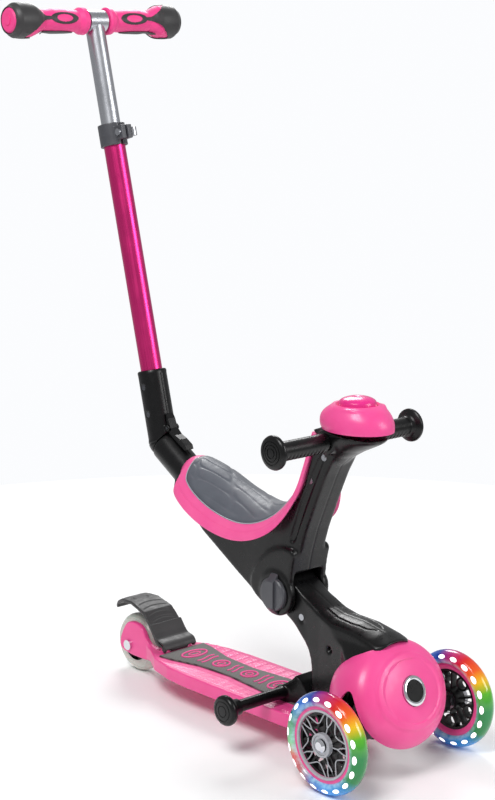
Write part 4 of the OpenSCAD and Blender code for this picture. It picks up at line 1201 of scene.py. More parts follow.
@dataclass
class NoseSizes:
    """Sizes of the nose."""

    face: Point3 = (0.0, -293.5, 105.5)
    tilt: float = 21.5
    half: float = 76.0
    tall: float = 67.0
    wall: float = 3.5
    hole: float = 18.2
    band_half: float = 55.0
    band_tall: float = 46.0
    spring_at: Point3 = (0.0, -285.6, 102.4)
    spring_reach: float = 7.2
    spring_half: float = 3.4
    spring_turns: float = 3.5
    wire: float = 0.6


class Nose(SubAssembly):
    """The nose: a pink dome with a raised band, wheel arches, and a chromed ring round the button."""

    kept = {"nose_ring": Slot.CHROME, "lock_button": Slot.BLACK}
    sizes = NoseSizes()
    rows = (
        (0, 0.24, 0.26), (1.5, 0.46, 0.48), (5.5, 0.70, 0.71), (12, 0.86, 0.86), (22, 0.96, 0.955),
        (36, 1, 1), (54, 0.98, 0.985), (70, 0.89, 0.90), (86, 0.73, 0.76), (98, 0.55, 0.60),
    )
    seam = (
        (-272, 160), (-266, 157), (-251, 151), (-236, 143), (-222, 132), (-211, 119), (-203, 104),
        (-195, 92), (-190, 84), (-188, 66), (-188, 48.3),
    )
    arch = (
        (-302, 20), (-291, 48), (-283, 68), (-274, 92), (-266, 109), (-260, 114), (-254, 112),
        (-246, 100), (-238, 84), (-226, 66), (-212, 46), (-200, 34), (-190, 20),
    )

    @property
    def front(self) -> Matrix:
        """The frame of the nose's face, with +Z out of it."""
        return place(self.sizes.face, 90 - self.sizes.tilt)

    def ring(self, t: float, wall: float) -> list[Vector]:
        """The nose's section at a row, on its outer or inner skin.

        Args:
            t: the place among the rows.
            wall: how far the section is drawn in.

        Returns:
            The section's points.
        """
        s = self.sizes
        depth, wide, tall = row_at(self.rows, t)
        before, after = row_at(self.rows, max(0, t - 0.1)), row_at(self.rows,
            min(len(self.rows) - 1, t + 0.1))
        way = np.array([after[0] - before[0], (after[1] - before[1]) * s.half])
        out = np.array([-way[1], way[0]]) / np.linalg.norm(way)
        points = []
        for k in range(160):
            a = 2 * math.pi * k / 160
            u, v = (wide * s.half - out[1] * wall) * math.cos(a), (tall * s.tall - out[1]
                * wall) * math.sin(a)
            lift = 0.0
            if not wall:
                reach = math.hypot(u / s.band_half, v / s.band_tall)
                lift = 1.5 * float(smooth_step(0.80, 0.84, reach) * (1 - smooth_step(0.97, 1.01, reach)))
            points.append(self.front @ Vector((u, v, -depth + min(0, out[0] * wall) + lift)))
        return points

    def dome(self) -> bpy.types.Object:
        """The dome, cut where the stem meets it, at the arches and for the button."""
        last = len(self.rows) - 1
        steps = [last * k / 90 for k in range(91)]
        shell = lofted(
            "nose_dome", [self.ring(t, 0) for t in steps] + [self.ring(t, self.sizes.wall)
                for t in reversed(steps)],
            closed=True)
        above = [(y - 0.2, z - 0.3) for y, z in self.seam] + [(-100, 48), (-100, 260), (-272, 260)]
        for tool in (
            prism("tool", above, -200, 200),
            prism("tool", rounded(self.arch, 1), -200, 200),
            turned("tool", [(0, -60), (self.sizes.hole, -60), (self.sizes.hole, 60), (0, 60)], self.front,
                96),
        ):
            worked(shell, tool, "DIFFERENCE")
        return cleaned(shell, 40)

    def collar(self) -> bpy.types.Object:
        """The bevelled chromed collar that stands round the button."""
        return turned("button_collar", [
            (13.6, 1.0), (13.6, 2.6), (14.6, 3.2), (16.4, 3.0), (17.7, 2.0), (17.7, 0.6)
        ], self.front, 96, ring=True)

    def coil(self) -> bpy.types.Object:
        """The button's spring: a coil of wire."""
        s = self.sizes
        turns = np.linspace(0, 2 * math.pi * s.spring_turns, 80)
        seat = place(s.spring_at, 90 - s.tilt)
        line = [
            seat @ Vector((s.spring_reach * math.cos(a), s.spring_reach * math.sin(a),
                s.spring_half * (2 * a / turns[-1] - 1)))
            for a in turns
        ]
        return rod("lock_coil", line, s.wire)

    def build(self) -> None:
        """Makes the dome, the collar and the button's spring."""
        self.hang(self.dome(), "chassis", Slot.PINK, "nose_cover")
        self.hang(self.collar(), "chassis", Slot.CHROME)
        coil = self.hang(self.coil(), "chassis", Slot.SPRING, "lock_spring")
        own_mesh(coil)


class SteeringHead(SubAssembly):
    """The bracket, kingpin, bushes and the truck that carries the front wheels."""

    kept = {
        "head_bracket": Slot.BLACK, "kingpin": Slot.ZINC, "kingpin_nut": Slot.ZINC, "truck_bush": Slot.DARK,
        "front_axle_right": Slot.CHROME, "front_axle_left": Slot.CHROME,
    }

    def build(self) -> None:
        """Makes the truck with cast, rounded edges."""
        self.hang(softened(from_node("truck_casting", "truck"), 1.1, 5), "truck", Slot.BLACK, "truck")


@dataclass
class StemSizes:
    """Sizes of the stem."""

    knee: Point3 = (0.0, -92.5, 184.0)
    knuckle: float = 24.0
    knuckle_half: float = 22.0
    seam: float = 0.7


class Stem(SubAssembly):
    """The black column from the nose to the knee, in two shells with a seam between them."""

    kept = {"stem_screws": Slot.ZINC, "seat_pivot_bolt": Slot.CHROME}
    sizes = StemSizes()
    side_line = (
        (-268, 158.5), (-247, 165), (-214, 171), (-180, 172), (-160, 176.5), (-143, 184.5), (-126, 192),
        (-110, 200), (-96, 206), (-93, 184), (-76, 168), (-95, 159), (-108, 152), (-121, 143), (-132, 134),
        (-139, 124), (-144, 112), (-146, 98), (-147, 48.3), (-187.5, 48.3), (-187.5, 66), (-189.5, 84),
        (-194.5, 92), (-202.5, 104), (-210.5, 119), (-221.5, 132), (-235.5, 143.2), (-250.5, 151.4),
        (-265.5, 157.6),
    )
    plan_line = (
        (22, -60), (22, -136), (24, -160), (28, -186), (31, -205), (39, -222), (40, -236), (36, -250),
        (24, -262), (10, -271),
    )
    front_line = ((44, 0), (44, 128), (37, 145), (29, 158), (24, 192), (24, 260))

    def column(self) -> bpy.types.Object:
        """The column's outer skin: rounded all over, with a crowned top, the seam and fine lines on top."""
        core = prism("core", self.side_line, -60, 60)
        worked(core, prism("tool", mirrored(self.plan_line), 0, 300, Plane.PLAN), "INTERSECT")
        worked(core, prism("tool", mirrored(self.front_line), -400, 0, Plane.FRONT), "INTERSECT")
        s = self.sizes
        knuckle = turned("knuckle", [
            (0, -s.knuckle_half), (s.knuckle, -s.knuckle_half), (s.knuckle, s.knuckle_half),
            (0, s.knuckle_half)
        ], across(s.knee, Side.RIGHT), 96)
        for y, z in ((-181, 138), (-128, 160), (-166, 62)):
            worked(core, turned("tool", [(0, 20.0), (4.4, 20.0), (4.4, 40), (0, 40)],
                across((0, y, z), Side.RIGHT), 32), "DIFFERENCE")
        body = softened(joined("stem_column", [core, knuckle]), 1.25, 14)

        def crown(at: np.ndarray, normal: np.ndarray) -> np.ndarray:
            """Bends the top of the column into a crown."""
            x, y, z = at.T
            share = smooth_step(96, 150, z) * (1 - smooth_step(-135, -112, y))
            at[:, 2] -= share * 0.0095 * x ** 2
            return at

        def dress_up(at: np.ndarray, normal: np.ndarray) -> np.ndarray:
            """Cuts the seam and the fine scoop lines on top."""
            x, y, z = at.T
            seam = s.seam * (1 - smooth_step(0.3, 0.9, abs(x)))
            lines = line_distance(np.stack([abs(x), y], 1),
                [(9, -160), (13, -182), (15, -208), (12, -228), (5, -238)])
            scoop = 0.9 * (1 - smooth_step(0.4, 1.5, lines)) * smooth_step(0.45, 0.7, normal[:, 2])
            return at - normal * (seam + scoop)[:, None]

        softened(reshaped(body, crown), 1.25, 8)

        return reshaped(body, dress_up)

    def build(self) -> None:
        """Makes the column."""
        self.hang(self.column(), "chassis", Slot.BLACK, "stem_shell_right", "stem_shell_left")


class FootRest(SubAssembly):
    """The bar behind the stem that a seated child's feet rest on, with a mushroom at each end."""

    at: Point3 = (0.0, -107.5, 61.5)
    half = 132.0

    def peg(self, side: Side) -> bpy.types.Object:
        """A mushroom with a dished face and two rings pressed into it."""
        profile = [(0, -1.2)]
        for r in np.linspace(1, 15.6, 46):
            groove = 0.7 if 6.2 < r < 7.4 or 11.6 < r < 12.8 else 0.0
            profile.append((float(r), -1.2 + 1.2 * (r / 15.6) ** 2 + groove))
        profile += [(17.4, 1.1), (18.5, 2.8), (18.8, 5.0), (18.4, 7.5), (16.8, 10.0), (13.4, 11.6),
                    (11.4, 12.6), (10.4, 15.0), (10.0, 23.8), (7.6, 24.0)]
        out = across((side.value * self.half, self.at[1], self.at[2]), side)
        flip = out @ Matrix.Rotation(math.pi, 4, "X")
        return turned(f"peg_{side.word}", profile, flip, 96)

    def build(self) -> None:
        """Makes the bar with its housing, and the two pegs."""
        bar = softened(from_node("rest_bar", "footrest_bar"), 1.2, 8)
        self.hang(bar, "chassis", Slot.BLACK, "footrest_bar")
        for side in Side:
            self.hang(self.peg(side), "chassis", Slot.BLACK, f"footrest_end_{side.word}")


# ------------------------------------------------------------------ seat


@dataclass
class SaddleSizes:
    """Sizes of the saddle and its pad."""

    half: float = 62.0
    trim: float = 7.0
    recess: float = 6.0
    pad_low: float = -5.95
    pad_high: float = 0.5
    edge: float = 3.4


class Saddle(SubAssembly):
    """The pink saddle with its soft grooved pad and the piping round it."""

    knee: Point3 = StemSizes.knee
    sizes = SaddleSizes()

    @property
    def rows(self) -> list[tuple[float, ...]]:
        """Rows from the tail to the neck: (y, z, half width, droop, pad's half width), from the knee."""
        w = self.sizes.half
        return [
            (207, 112, 0.30 * w, 10, 0), (198, 128, 0.48 * w, 22, 0.10 * w),
            (178, 138, 0.70 * w, 31, 0.42 * w),
            (141, 130, 0.92 * w, 38, 0.70 * w), (93, 113, w, 40, 0.78 * w), (43, 103, w, 35, 0.76 * w),
            (3, 112, 0.88 * w, 27, 0.60 * w), (-24, 138, 0.66 * w, 15, 0.28 * w),
            (-39, 168, 0.53 * w, 7, 0.06 * w),
            (-56, 212, 0.5 * w, 3, 0),
        ]

    def spot(self, t: float, across_by: float, height: float) -> Point3:
        """A point of the saddle.

        Args:
            t: the place among the rows.
            across_by: the distance from the middle line.
            height: the height above the skin.

        Returns:
            The point.
        """
        rows = self.rows
        here = row_at(rows, t)
        way = row_at(rows, min(len(rows) - 1, t + 0.2)) - row_at(rows, max(0, t - 0.2))
        dy, dz = way[:2] / np.linalg.norm(way[:2])
        drop = height - here[3] * (across_by / max(here[2], 1)) ** 2
        return (across_by, self.knee[1] + here[0] + dz * drop, self.knee[2] + here[1] - dy * drop)

    def pad_half(self, t: float) -> float:
        """The pad's half width at a row, rounded off at both ends."""
        wide = float(row_at(self.rows, t)[4])
        rear, front = 2.12, 7.72
        ease_rear = math.sqrt(max(1 - max(0.0, (rear + 0.6 - t) / 0.6) ** 2, 0))
        ease_front = math.sqrt(max(1 - max(0.0, (t - front + 0.5) / 0.5) ** 2, 0))
        return wide * ease_rear * ease_front

    def trim(self) -> bpy.types.Object:
        """The pink saddle: a bead along its edge and a bed for the pad."""
        s, rings = self.sizes, []
        last = len(self.rows) - 1
        for k in range(151):
            t = last * k / 150
            w = float(row_at(self.rows, t)[2])
            pad = min(self.pad_half(t) * 1.0 + 0.5, w - 7.5)
            bed = s.recess * float(smooth_step(0.4, 3.5, np.array(pad)))
            pad = max(pad, 0.6)
            right = [(w - s.edge + s.edge * math.cos(a), -s.edge + s.edge * math.sin(a))
                for a in np.radians([-80, -50, -20, 10, 40, 70, 90])]
            right += [(w - 5.0, -0.1), (w - 5.5, -0.75), (w - 6.2, -0.75), (w - 6.8, 0.0)]
            inner = np.linspace(w - 7.1, pad + 0.3, 6)
            right += [(float(r), 0.0) for r in inner]
            right += [(pad, -0.3 * min(1, bed)), (pad - 0.05, -bed)]
            bed_line = [(float(r), -bed) for r in np.linspace(pad * 0.8, 0, 5)]
            top = right + bed_line
            loop = top + [(-x, h) for x, h in reversed(top[:-1])]
            under = [(float(r), -s.trim) for r in np.linspace(-(w - s.edge), w - s.edge, 12)]
            rings.append([self.spot(t, x, h) for x, h in loop + under])
        body = lofted("saddle_trim", rings, crease=34)
        tail = Matrix.Translation((0, 158.5, 329)) @ Matrix.Rotation(math.radians(90 + 31.95), 4, "X")
        worked(body, turned("tool", [(0, -20), (21.4, -20), (21.4, 160), (0, 160)], tail, 72), "DIFFERENCE")
        worked(body, turned("tool", [(0, -60), (17, -60), (17, 60), (0, 60)],
            across((0, -176.5, 387), Side.LEFT), 72), "DIFFERENCE")
        return cleaned(body, 34)

    def pad(self) -> bpy.types.Object:
        """The soft pad: a crowned skin with a flowing pattern of grooves pressed into it."""
        s, rings = self.sizes, []
        lanes = np.linspace(-1, 1, 91)
        for t in 2.13 + (7.7 - 2.13) * (0.5 - 0.5 * np.cos(np.linspace(0.02, math.pi - 0.02, 150))):
            t = float(t)
            half = max(self.pad_half(t) - 0.5, 0.4)
            upper = []
            for v in lanes:
                x = float(v) * half
                edge = half * (1 - abs(v))
                end = min(t - 2.13, 7.7 - t) * 40
                ease = float(smooth_step(0, 2.4, np.array(min(edge, end + 0.4))))
                swirl = math.sin(0.19 * (x * 1.1 + 9 * math.sin((t - 1.2) * 1.55)) + 0.9
                    * t) * math.cos(0.052 * x + 2.2 * t)
                groove = 0.75 * float(1 - smooth_step(0.05, 0.22, np.array(abs(swirl))))
                inside = float(smooth_step(4, 8, np.array(edge)) * smooth_step(6, 12, np.array(end)))
                upper.append(self.spot(t, x, s.pad_high - 1.7 * (1 - ease) - groove * inside))
            lower = [self.spot(t, float(v) * half, s.pad_low) for v in lanes[::-6]]
            rings.append(upper + lower)
        return lofted("saddle_pad", rings, crease=70)

    def piping(self) -> bpy.types.Object:
        """The thin pale line round the pad."""
        turns = [2.15 + (7.66 - 2.15) * k / 90 for k in range(91)]
        right = [self.spot(t, self.pad_half(t) + 0.1, 0.0) for t in turns]
        left = [self.spot(t, -self.pad_half(t) - 0.1, 0.0) for t in reversed(turns)]
        return rod("saddle_piping", right + left, 0.75, closed=True, sides=8)

    def build(self) -> None:
        """Makes the trim, the pad and the piping."""
        self.hang(self.trim(), "seat_unit", Slot.TRIM, "seat_trim")
        self.hang(self.pad(), "seat_unit", Slot.PAD, "seat_pad")
        self.hang(self.piping(), "seat_unit", "pale", slot=Slot.PAD)


@dataclass
class SeatFrameSizes:
    """Sizes of the seat's frame."""

    half: float = 29.0
    cheek: float = 28.0
    cheek_out: float = 33.3
    tail: float = 21.0
    head_top: float = 402.0


class SeatFrame(SubAssembly):
    """The black frame that carries the saddle, from the tail's socket to the head under the horn."""

    kept = {"seat_frame_screws": Slot.ZINC, "seat_knob_right": Slot.KNOB, "pivot_cap_left": Slot.KNOB}
    knee: Point3 = StemSizes.knee
    sizes = SeatFrameSizes()
    plan_line = (
        (20, 214), (22, 180), (29, 140), (29, 60), (30, 20), (30, -20), (29, -60), (29, -106), (26, -114),
    )
    groove = (
        (-80, 186), (-66, 158), (-50, 123), (-35, 87), (-29, 70), (-23, 66), (-20, 73), (-27, 92),
        (-40, 126), (-56, 161), (-71, 188),
    )

    def __init__(self, wardrobe: Wardrobe, saddle: Saddle) -> None:
        """Takes the saddle, whose underside the frame follows."""
        super().__init__(wardrobe)
        self.saddle = saddle

    def side_line(self) -> list[Point2]:
        """The frame's side outline, measured from the knee."""
        s, upper = self.sizes, []
        for k in range(2 * 4, 9 * 4 + 1):
            t = k / 4
            w = float(row_at(self.saddle.rows, t)[2])
            _, y, z = self.saddle.spot(t, w * min(1, (s.half + 1.2) / max(w, 1)),
                -self.saddle.sizes.trim - 0.4)
            if y - self.knee[1] < 192:
                upper.append((y - self.knee[1], z - self.knee[2]))
        top = s.head_top - self.knee[2]
        return [(14, -24), (72, 9), (125, 41), (150, 56), (180, 74), (209, 92.5), (206, 104)] + upper + [
            (-58, top - 4), (-72, top), (-100, top), (-110, top - 8), (-108, 197), (-88, 184), (-73, 158),
            (-57, 123), (-40, 83), (-31, 55), (-26, 36), (-24, 14)]

    def skin(self) -> bpy.types.Object:
        """The frame's outer skin: rounded edges, the seam, the neck's flute and the flare of its head."""
        s, knee = self.sizes, self.knee
        shift = (knee[1], knee[2])
        core = prism("core", shifted(self.side_line(), shift), -s.cheek_out, s.cheek_out)
        plan = [(x, y + knee[1]) for x, y in mirrored(self.plan_line)]
        worked(core, prism("tool", plan, 0, 600, Plane.PLAN), "INTERSECT")
        cheeks = turned("cheeks",
            [(0, -s.cheek_out), (s.cheek, -s.cheek_out), (s.cheek, s.cheek_out), (0, s.cheek_out)],
                        across(knee, Side.RIGHT), 96)
        brace = prism("brace", shifted(rounded([(14, -24), (52, -2), (34, 34), (4, 58), (-33, 62),
            (-26, 36), (-24, 14)], 2), shift),
                      -s.cheek_out + 1.6, s.cheek_out - 1.6)
        room = [(0, 0), (26, 15), (31, -2), (20, -40), (-60, -40), (-60, 28), (-20, 28)]
        for part in (core, cheeks, brace):
            worked(part, turned("tool", [(0, -23), (31, -23), (31, 23), (0, 23)], across(knee, Side.RIGHT),
                72), "DIFFERENCE")
            worked(part, prism("tool", shifted(room, shift), -23, 23), "DIFFERENCE")
        bend = Matrix.Translation((0, 158.5, 329)) @ Matrix.Rotation(math.radians(90 + 31.95), 4, "X")
        socket = turned("socket", [(16, 5), (19.5, 5), (21, 7), (21, 66), (16, 66)], bend, 96, ring=True)
        collar = turned("collar", [(0, -33), (15, -33), (15, 33), (0, 33)],
            across((0, -176.5, 387), Side.RIGHT), 72)
        flare = []
        for z, y, long, wide in ((352, -160, 10, 18), (366, -170, 17, 22), (377, -178, 27, 26),
                (386, -186, 36, 30.5),
                                 (393, -192, 42, 33.5), (399, -195, 44, 34.5)):
            flare.append([
                (wide * math.cos(a), y + long * math.sin(a), z + 0.12 * (z - 352) / 47 * long * math.sin(a))
                for a in np.linspace(0, 2 * math.pi, 48, endpoint=False)])
        front_edge = shifted([(-24, 14), (-26, 36), (-31, 55), (-40, 83), (-57, 123), (-73, 158),
            (-88, 184), (-100, 200)], shift)

        def ease_in(at: np.ndarray, normal: np.ndarray) -> np.ndarray:
            """Rounds the neck's front over, by drawing its sides in towards the edge."""
            near = np.clip(26.0 - line_distance(at[:, 1:], front_edge), 0, 24.0)
            half = s.half - 13.0 * (1 - np.sqrt(1 - (near / 26.0) ** 2))
            share = smooth_step(knee[2] + 34, knee[2] + 62, at[:, 2])
            at[:, 0] *= 1 + share * (half / s.half - 1)
            return at

        core = reshaped(softened(core, 1.3, 2), ease_in)
        body = softened(joined("seat_frame_skin",
            [core, cheeks, brace, socket, collar, lofted("flare", flare)]), 1.3, 26)

        def dress_up(at: np.ndarray, normal: np.ndarray) -> np.ndarray:
            """Cuts the seam and the flute."""
            x, y, z = at.T
            seam = 0.7 * (1 - smooth_step(0.3, 0.9, abs(x)))
            spots = np.stack([y, z], 1)
            flute = 2.6 * (1 - smooth_step(-2.4, 0.3,
                outline_distance(spots, rounded(shifted(self.groove, shift), 2))))
            flute *= smooth_step(0.25, 0.5, abs(normal[:, 0])) * (abs(x) > 10)
            return at - normal * (seam + flute)[:, None]

        return reshaped(body, dress_up)

    def cap_ring(self) -> bpy.types.Object:
        """The ring round the cap on the left."""
        ring = turned("ring", [(18.2, 6.1), (18.2, 6.9), (19.2, 6.9), (19.6, 5.4)],
                      across((self.sizes.cheek_out * Side.LEFT.value, *self.knee[1:]), Side.LEFT), 96,
                      ring=True)
        return joined("cap_ring", [ring])

    def build(self) -> None:
        """Makes the frame's skin and the cap's ring."""
        self.hang(self.skin(), "seat_unit", Slot.BLACK, "seat_frame_right", "seat_frame_left")
        self.hang(self.cap_ring(), "seat_unit", Slot.KNOB)


# ------------------------------------------------------------------ the child's handle and the horn


@dataclass
class HandleSizes:
    """Sizes of the child's handle."""

    at: Point3 = (0.0, -176.5, 387.0)
    half: float = 132.0
    root: float = 33.0
    tube: float = 8.0
    grip: float = 11.0


class ChildHandle(SubAssembly):
    """The handle on the neck: toothed grips with mushroom ends, and the horn under its pink cover."""

    kept = {"handle_tube": Slot.ZINC}
    sizes = HandleSizes()
    horn_at: Point3 = (0.0, -191.5, 391.0)
    horn_rows = (
        (6, 35.5, 46, 4.5), (10, 37, 48, 5), (16, 38, 49, 5.3), (23, 37.6, 48, 5.6), (30, 35.5, 43.5, 6),
        (36.5, 31.5, 35.5, 6.2), (41, 26.1, 26.1, 6),
    )
    slope = 0.14

    def grip(self, side: Side) -> bpy.types.Object:
        """A grip: rings pressed into its end, and teeth under it for the fingers."""
        s = self.sizes
        half = float(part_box(f"handle_grip_{side.word}")[0 if side is Side.RIGHT else 1][0]) / MM
        length = abs(half) - s.root - 0.3
        profile: list[Point2] = [(0.0, 0.6)]
        for r in np.linspace(1, 15.6, 46):
            groove = 0.8 if 5.2 < r < 6.4 or 9.4 < r < 10.4 or 13.2 < r < 14.2 else 0.0
            profile.append((float(r), 0.6 + 1.0 * (r / 15.6) ** 2 + groove))
        profile += [(17.8, 2.0), (19.6, 3.4), (20.5, 5.5), (20.2, 7.6), (18.6, 9.2), (14.6, 10.2),
            (12.6, 11.6), (11.4, 14.0)]
        profile += [(s.grip, float(h)) for h in np.linspace(15, length - 1.2, 130)] + [(10.4, length),
            (0, length)]
        inward = across((half, s.at[1], s.at[2]), side) @ Matrix.Rotation(math.pi, 4, "X")
        body = turned(f"child_grip_{side.word}", profile, inward, 72)

        def teeth(at: np.ndarray, normal: np.ndarray) -> np.ndarray:
            """Raises the teeth under the grip."""
            x, _, _ = at.T
            along = abs(half) - abs(x)
            under = smooth_step(0.25, 0.7, -normal[:, 2]) * smooth_step(16, 19,
                along) * (1 - smooth_step(length - 7, length - 4, along))
            tooth = smooth_step(-0.3, 0.3, np.cos(2 * math.pi * along / 6.0))
            return at + normal * (1.1 * under * tooth)[:, None]

        return reshaped(body, teeth)

    def horn_ring(self, t: float, wall: float) -> list[Point3]:
        """A section of the horn's cover.

        Args:
            t: the place among the rows.
            wall: how far inside the outer skin it lies.

        Returns:
            The section's points.
        """
        height, wide, long, back = row_at(self.horn_rows, t)
        lift = wall * float(smooth_step(3.6, 4.6, np.array(t)))
        points = []
        for k in range(144):
            a = 2 * math.pi * k / 144
            lobe = 0.0 if wall else 1.5 * math.exp(-((t - 5.25) / 0.28) ** 2) * max(0.0,
                math.cos(3 * a + math.pi / 2)) ** 2
            points.append((
                self.horn_at[0] + (wide - wall + lobe * 0.8) * math.cos(a),
                self.horn_at[1] - back + (long - wall + lobe * 0.8) * math.sin(a),
                self.horn_at[2] + height - lift + lobe
                + self.slope * (1 - t / (len(self.horn_rows) - 1)) * (long - wall) * math.sin(a),
            ))
        return points

    def cover(self) -> bpy.types.Object:
        """The horn's cover: a soft pink shell with three faint lobes round the button."""
        last = len(self.horn_rows) - 1
        steps = [last * k / 60 for k in range(61)]
        shell = lofted("horn_shell",
            [self.horn_ring(t, 0) for t in reversed(steps)] + [self.horn_ring(t, 3.5) for t in steps],
            closed=True)
        room = [(-300, 300), (-300, 401.6), (-140, 401.6), (-123, 401.6), (-123, 300)]
        return cleaned(worked(shell, prism("tool", room, -200, 200), "DIFFERENCE"), 40)

    def button(self) -> bpy.types.Object:
        """The horn's button: a dome with a finger dish and a step round its foot."""
        low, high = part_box("horn_button")
        middle = ((low + high) / 2) / MM
        r, top = float(high.x - low.x) / 2 / MM, float(high.z) / MM
        profile = [(0, top - 1.2)]
        for share in np.linspace(0.08, 1, 30):
            dish = 1.2 * (1 - float(smooth_step(0.0, 0.42, np.array(share))))
            profile.append((r * share * 0.97,
                top - dish - 8.2 * (1 - math.sqrt(max(1 - (share * 0.97) ** 2, 0)))))
        profile += [(r * 0.985, top - 8.6), (r, top - 9.6), (r, top - 15), (0, top - 15)]
        return turned("horn_dome", profile, Matrix.Translation((middle.x, middle.y, 0)), 96)

    def build(self) -> None:
        """Makes the grips, the cover and the button."""
        for side in Side:
            self.hang(self.grip(side), "seat_unit", Slot.BLACK, f"handle_grip_{side.word}")
        self.hang(self.cover(), "seat_unit", Slot.PINK, "horn_cover")
        self.hang(self.button(), "horn_button", Slot.BUTTON, "horn_button")


# ------------------------------------------------------------------ push bar


@dataclass
class GripSizes:
    """Sizes of the grips' dark skin, from the middle of the handlebar out and round from the grip's front."""

    start: float = 19.0
    end: float = 136.2
    stations: int = 196
    lanes: int = 180
    least: float = 9.0
    proud: float = 0.3
    thick: float = 0.9
    lift: float = 14.0
    oval_at: float = 57.0
    oval_long: float = 22.0
    oval_wide: float = 8.5
    oval_hole: float = 0.58


class PushBar(SubAssembly):
    """The push bar: elbow with its latch, tubes, clamp, and a crossbar with two-tone grips."""

    grips = GripSizes()
    kept = {
        "elbow_pins": Slot.SPRING, "elbow_latch": Slot.BLACK, "outer_tube": Slot.TUBE,
        "clamp_bolt": Slot.ZINC, "clamp_lever": Slot.CHROME, "inner_tube": Slot.BARE,
        "handlebar_tube": Slot.BARE,
        "grip_right": Slot.GRIP, "grip_left": Slot.GRIP, "grip_plugs": Slot.GRIP,
    }
    bend: Point3 = (0.0, 158.5, 329.0)

    def elbow(self) -> bpy.types.Object:
        """The elbow with rounded edges, a parting line and the crease of its fold."""
        body = softened(from_node("elbow_skin", "elbow"), 0.9, 5)

        def lines(at: np.ndarray, normal: np.ndarray) -> np.ndarray:
            """Cuts the parting line and the crease."""
            x, y, z = at.T
            cut = 0.6 * (1 - smooth_step(0.3, 0.9, abs(x)))
            cut += 0.7 * (1 - smooth_step(0.4, 1.2,
                line_distance(np.stack([y, z], 1), [(140, 338), (155, 331), (176, 322)])))
            return at - normal * cut[:, None]

        return reshaped(body, lines)

    def tube_ring(self) -> bpy.types.Object:
        """The pressed ring where the pink tube leaves the elbow."""
        up = place(self.bend, -BAR_LEAN)
        return turned("elbow_lip",
            [(14.5, 92.5), (14.5, 95.4), (16.2, 95.8), (18.2, 95.2), (19.2, 93.6), (19.2, 90.5),
                (18.6, 90.5)], up, 96, ring=True)

    def collar(self) -> bpy.types.Object:
        """The clamp's collar with rounded edges."""
        return softened(from_node("collar_skin", "clamp_collar"), 0.6, 4)

    def grip_reach(self, side: Side, stations: np.ndarray) -> tuple[Vector, np.ndarray]:
        """Reads how far a grip's skin stands from the handlebar's axis.

        Args:
            side: the grip's side.
            stations: distances from the middle of the handlebar.

        Returns:
            The middle of the handlebar, and the skin's radius at each station.
        """
        axis_low, axis_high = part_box("handlebar_tube")
        middle = (Vector(axis_low) + Vector(axis_high)) / 2 / MM
        spots = []
        for node_name in (f"grip_{side.word}", "grip_overlays"):
            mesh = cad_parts[node_name].data
            flat = np.empty(len(mesh.vertices) * 3)
            mesh.vertices.foreach_get("co", flat)
            flat = flat.reshape(-1, 3) / MM
            flat = flat[flat[:, 0] * side.value > 0]
            spots.append(np.stack([abs(flat[:, 0]), np.hypot(flat[:, 1] - middle.y, flat[:, 2] - middle.z)],
                1))
        both = np.concatenate(spots)
        reach = np.array([both[abs(both[:, 0] - x) < 3.2][:, 1].max(initial=0) for x in stations])
        seen = reach >= self.grips.least
        reach = np.where(seen, reach, np.interp(stations, stations[seen], reach[seen]))
        return middle, np.convolve(np.pad(reach, 4, mode="edge"), np.ones(9) / 9,
            "valid") + self.grips.proud

    def is_dark(self, x: float, arc: float) -> bool:
        """Whether a grip is dark at a place: the ring and its tail, the stripe below, or the bulb's end.

        Args:
            x: the distance from the middle of the handlebar.
            arc: the distance round the grip from the middle of its front, upwards.

        Returns:
            Whether the dark rubber covers that place.
        """
        g = self.grips
        oval = math.hypot((x - g.oval_at) / g.oval_long, arc / g.oval_wide)
        tail = x > 74 and abs(arc) < 2.6 + 13 * max(0.0, (x - 84) / 20) ** 1.6
        width = 5.2 * math.sqrt(max(1 - ((x - 67) / 29) ** 2, 0))
        below = 38 < x < 96 and abs(abs(arc) - 24) < width and arc < 0
        leaf = min(math.hypot((x - 111) / 9.5, (abs(arc) - 27) / 9),
            math.hypot((x - 108) / 6, (abs(arc) - 60) / 8))
        bulb = x > 103 - 6 * math.cos(arc / 9) and leaf > 1
        return g.oval_hole < oval < 1 or (tail and oval >= 1) or below or bulb

    def overlay(self, side: Side) -> bpy.types.Object:
        """The dark rubber of a grip, moulded over the pink: a skin that lies just proud of the grip.

        Args:
            side: the grip's side.

        Returns:
            The piece.
        """
        g = self.grips
        stations = np.linspace(g.start, g.end, g.stations)
        middle, reach = self.grip_reach(side, stations)
        lanes = np.radians(np.linspace(0, 360, g.lanes, endpoint=False))
        points = [
            (side.value * x, middle.y - r * math.cos(a), middle.z + r * math.sin(a))
            for x, r in zip(stations, reach) for a in lanes
        ]
        faces = []
        for i, x in enumerate(stations[:-1]):
            for k, a in enumerate(lanes):
                arc = reach[i] * (((a - math.radians(g.lift) + math.pi) % (2 * math.pi)) - math.pi)
                if self.is_dark(x, arc):
                    after = (k + 1) % g.lanes
                    faces.append([i * g.lanes + k, (i + 1) * g.lanes + k, (i + 1) * g.lanes + after,
                        i * g.lanes + after])
        skin = new_mesh(f"overlay_{side.word}", points, faces, 60)
        work = bmesh.new()
        work.from_mesh(skin.data)
        bmesh.ops.delete(work, geom=[v for v in work.verts if not v.link_faces], context="VERTS")
        edge = [v for v in work.verts if v.is_boundary]
        for _ in range(3):
            bmesh.ops.smooth_vert(work, verts=edge, factor=0.5, use_axis_x=True, use_axis_y=True,
                use_axis_z=True)
        work.to_mesh(skin.data)
        work.free()
        thick = skin.modifiers.new("thick", "SOLIDIFY")
        thick.thickness, thick.offset = g.thick * MM, -1.0
        return cleaned(settled(skin), 50)

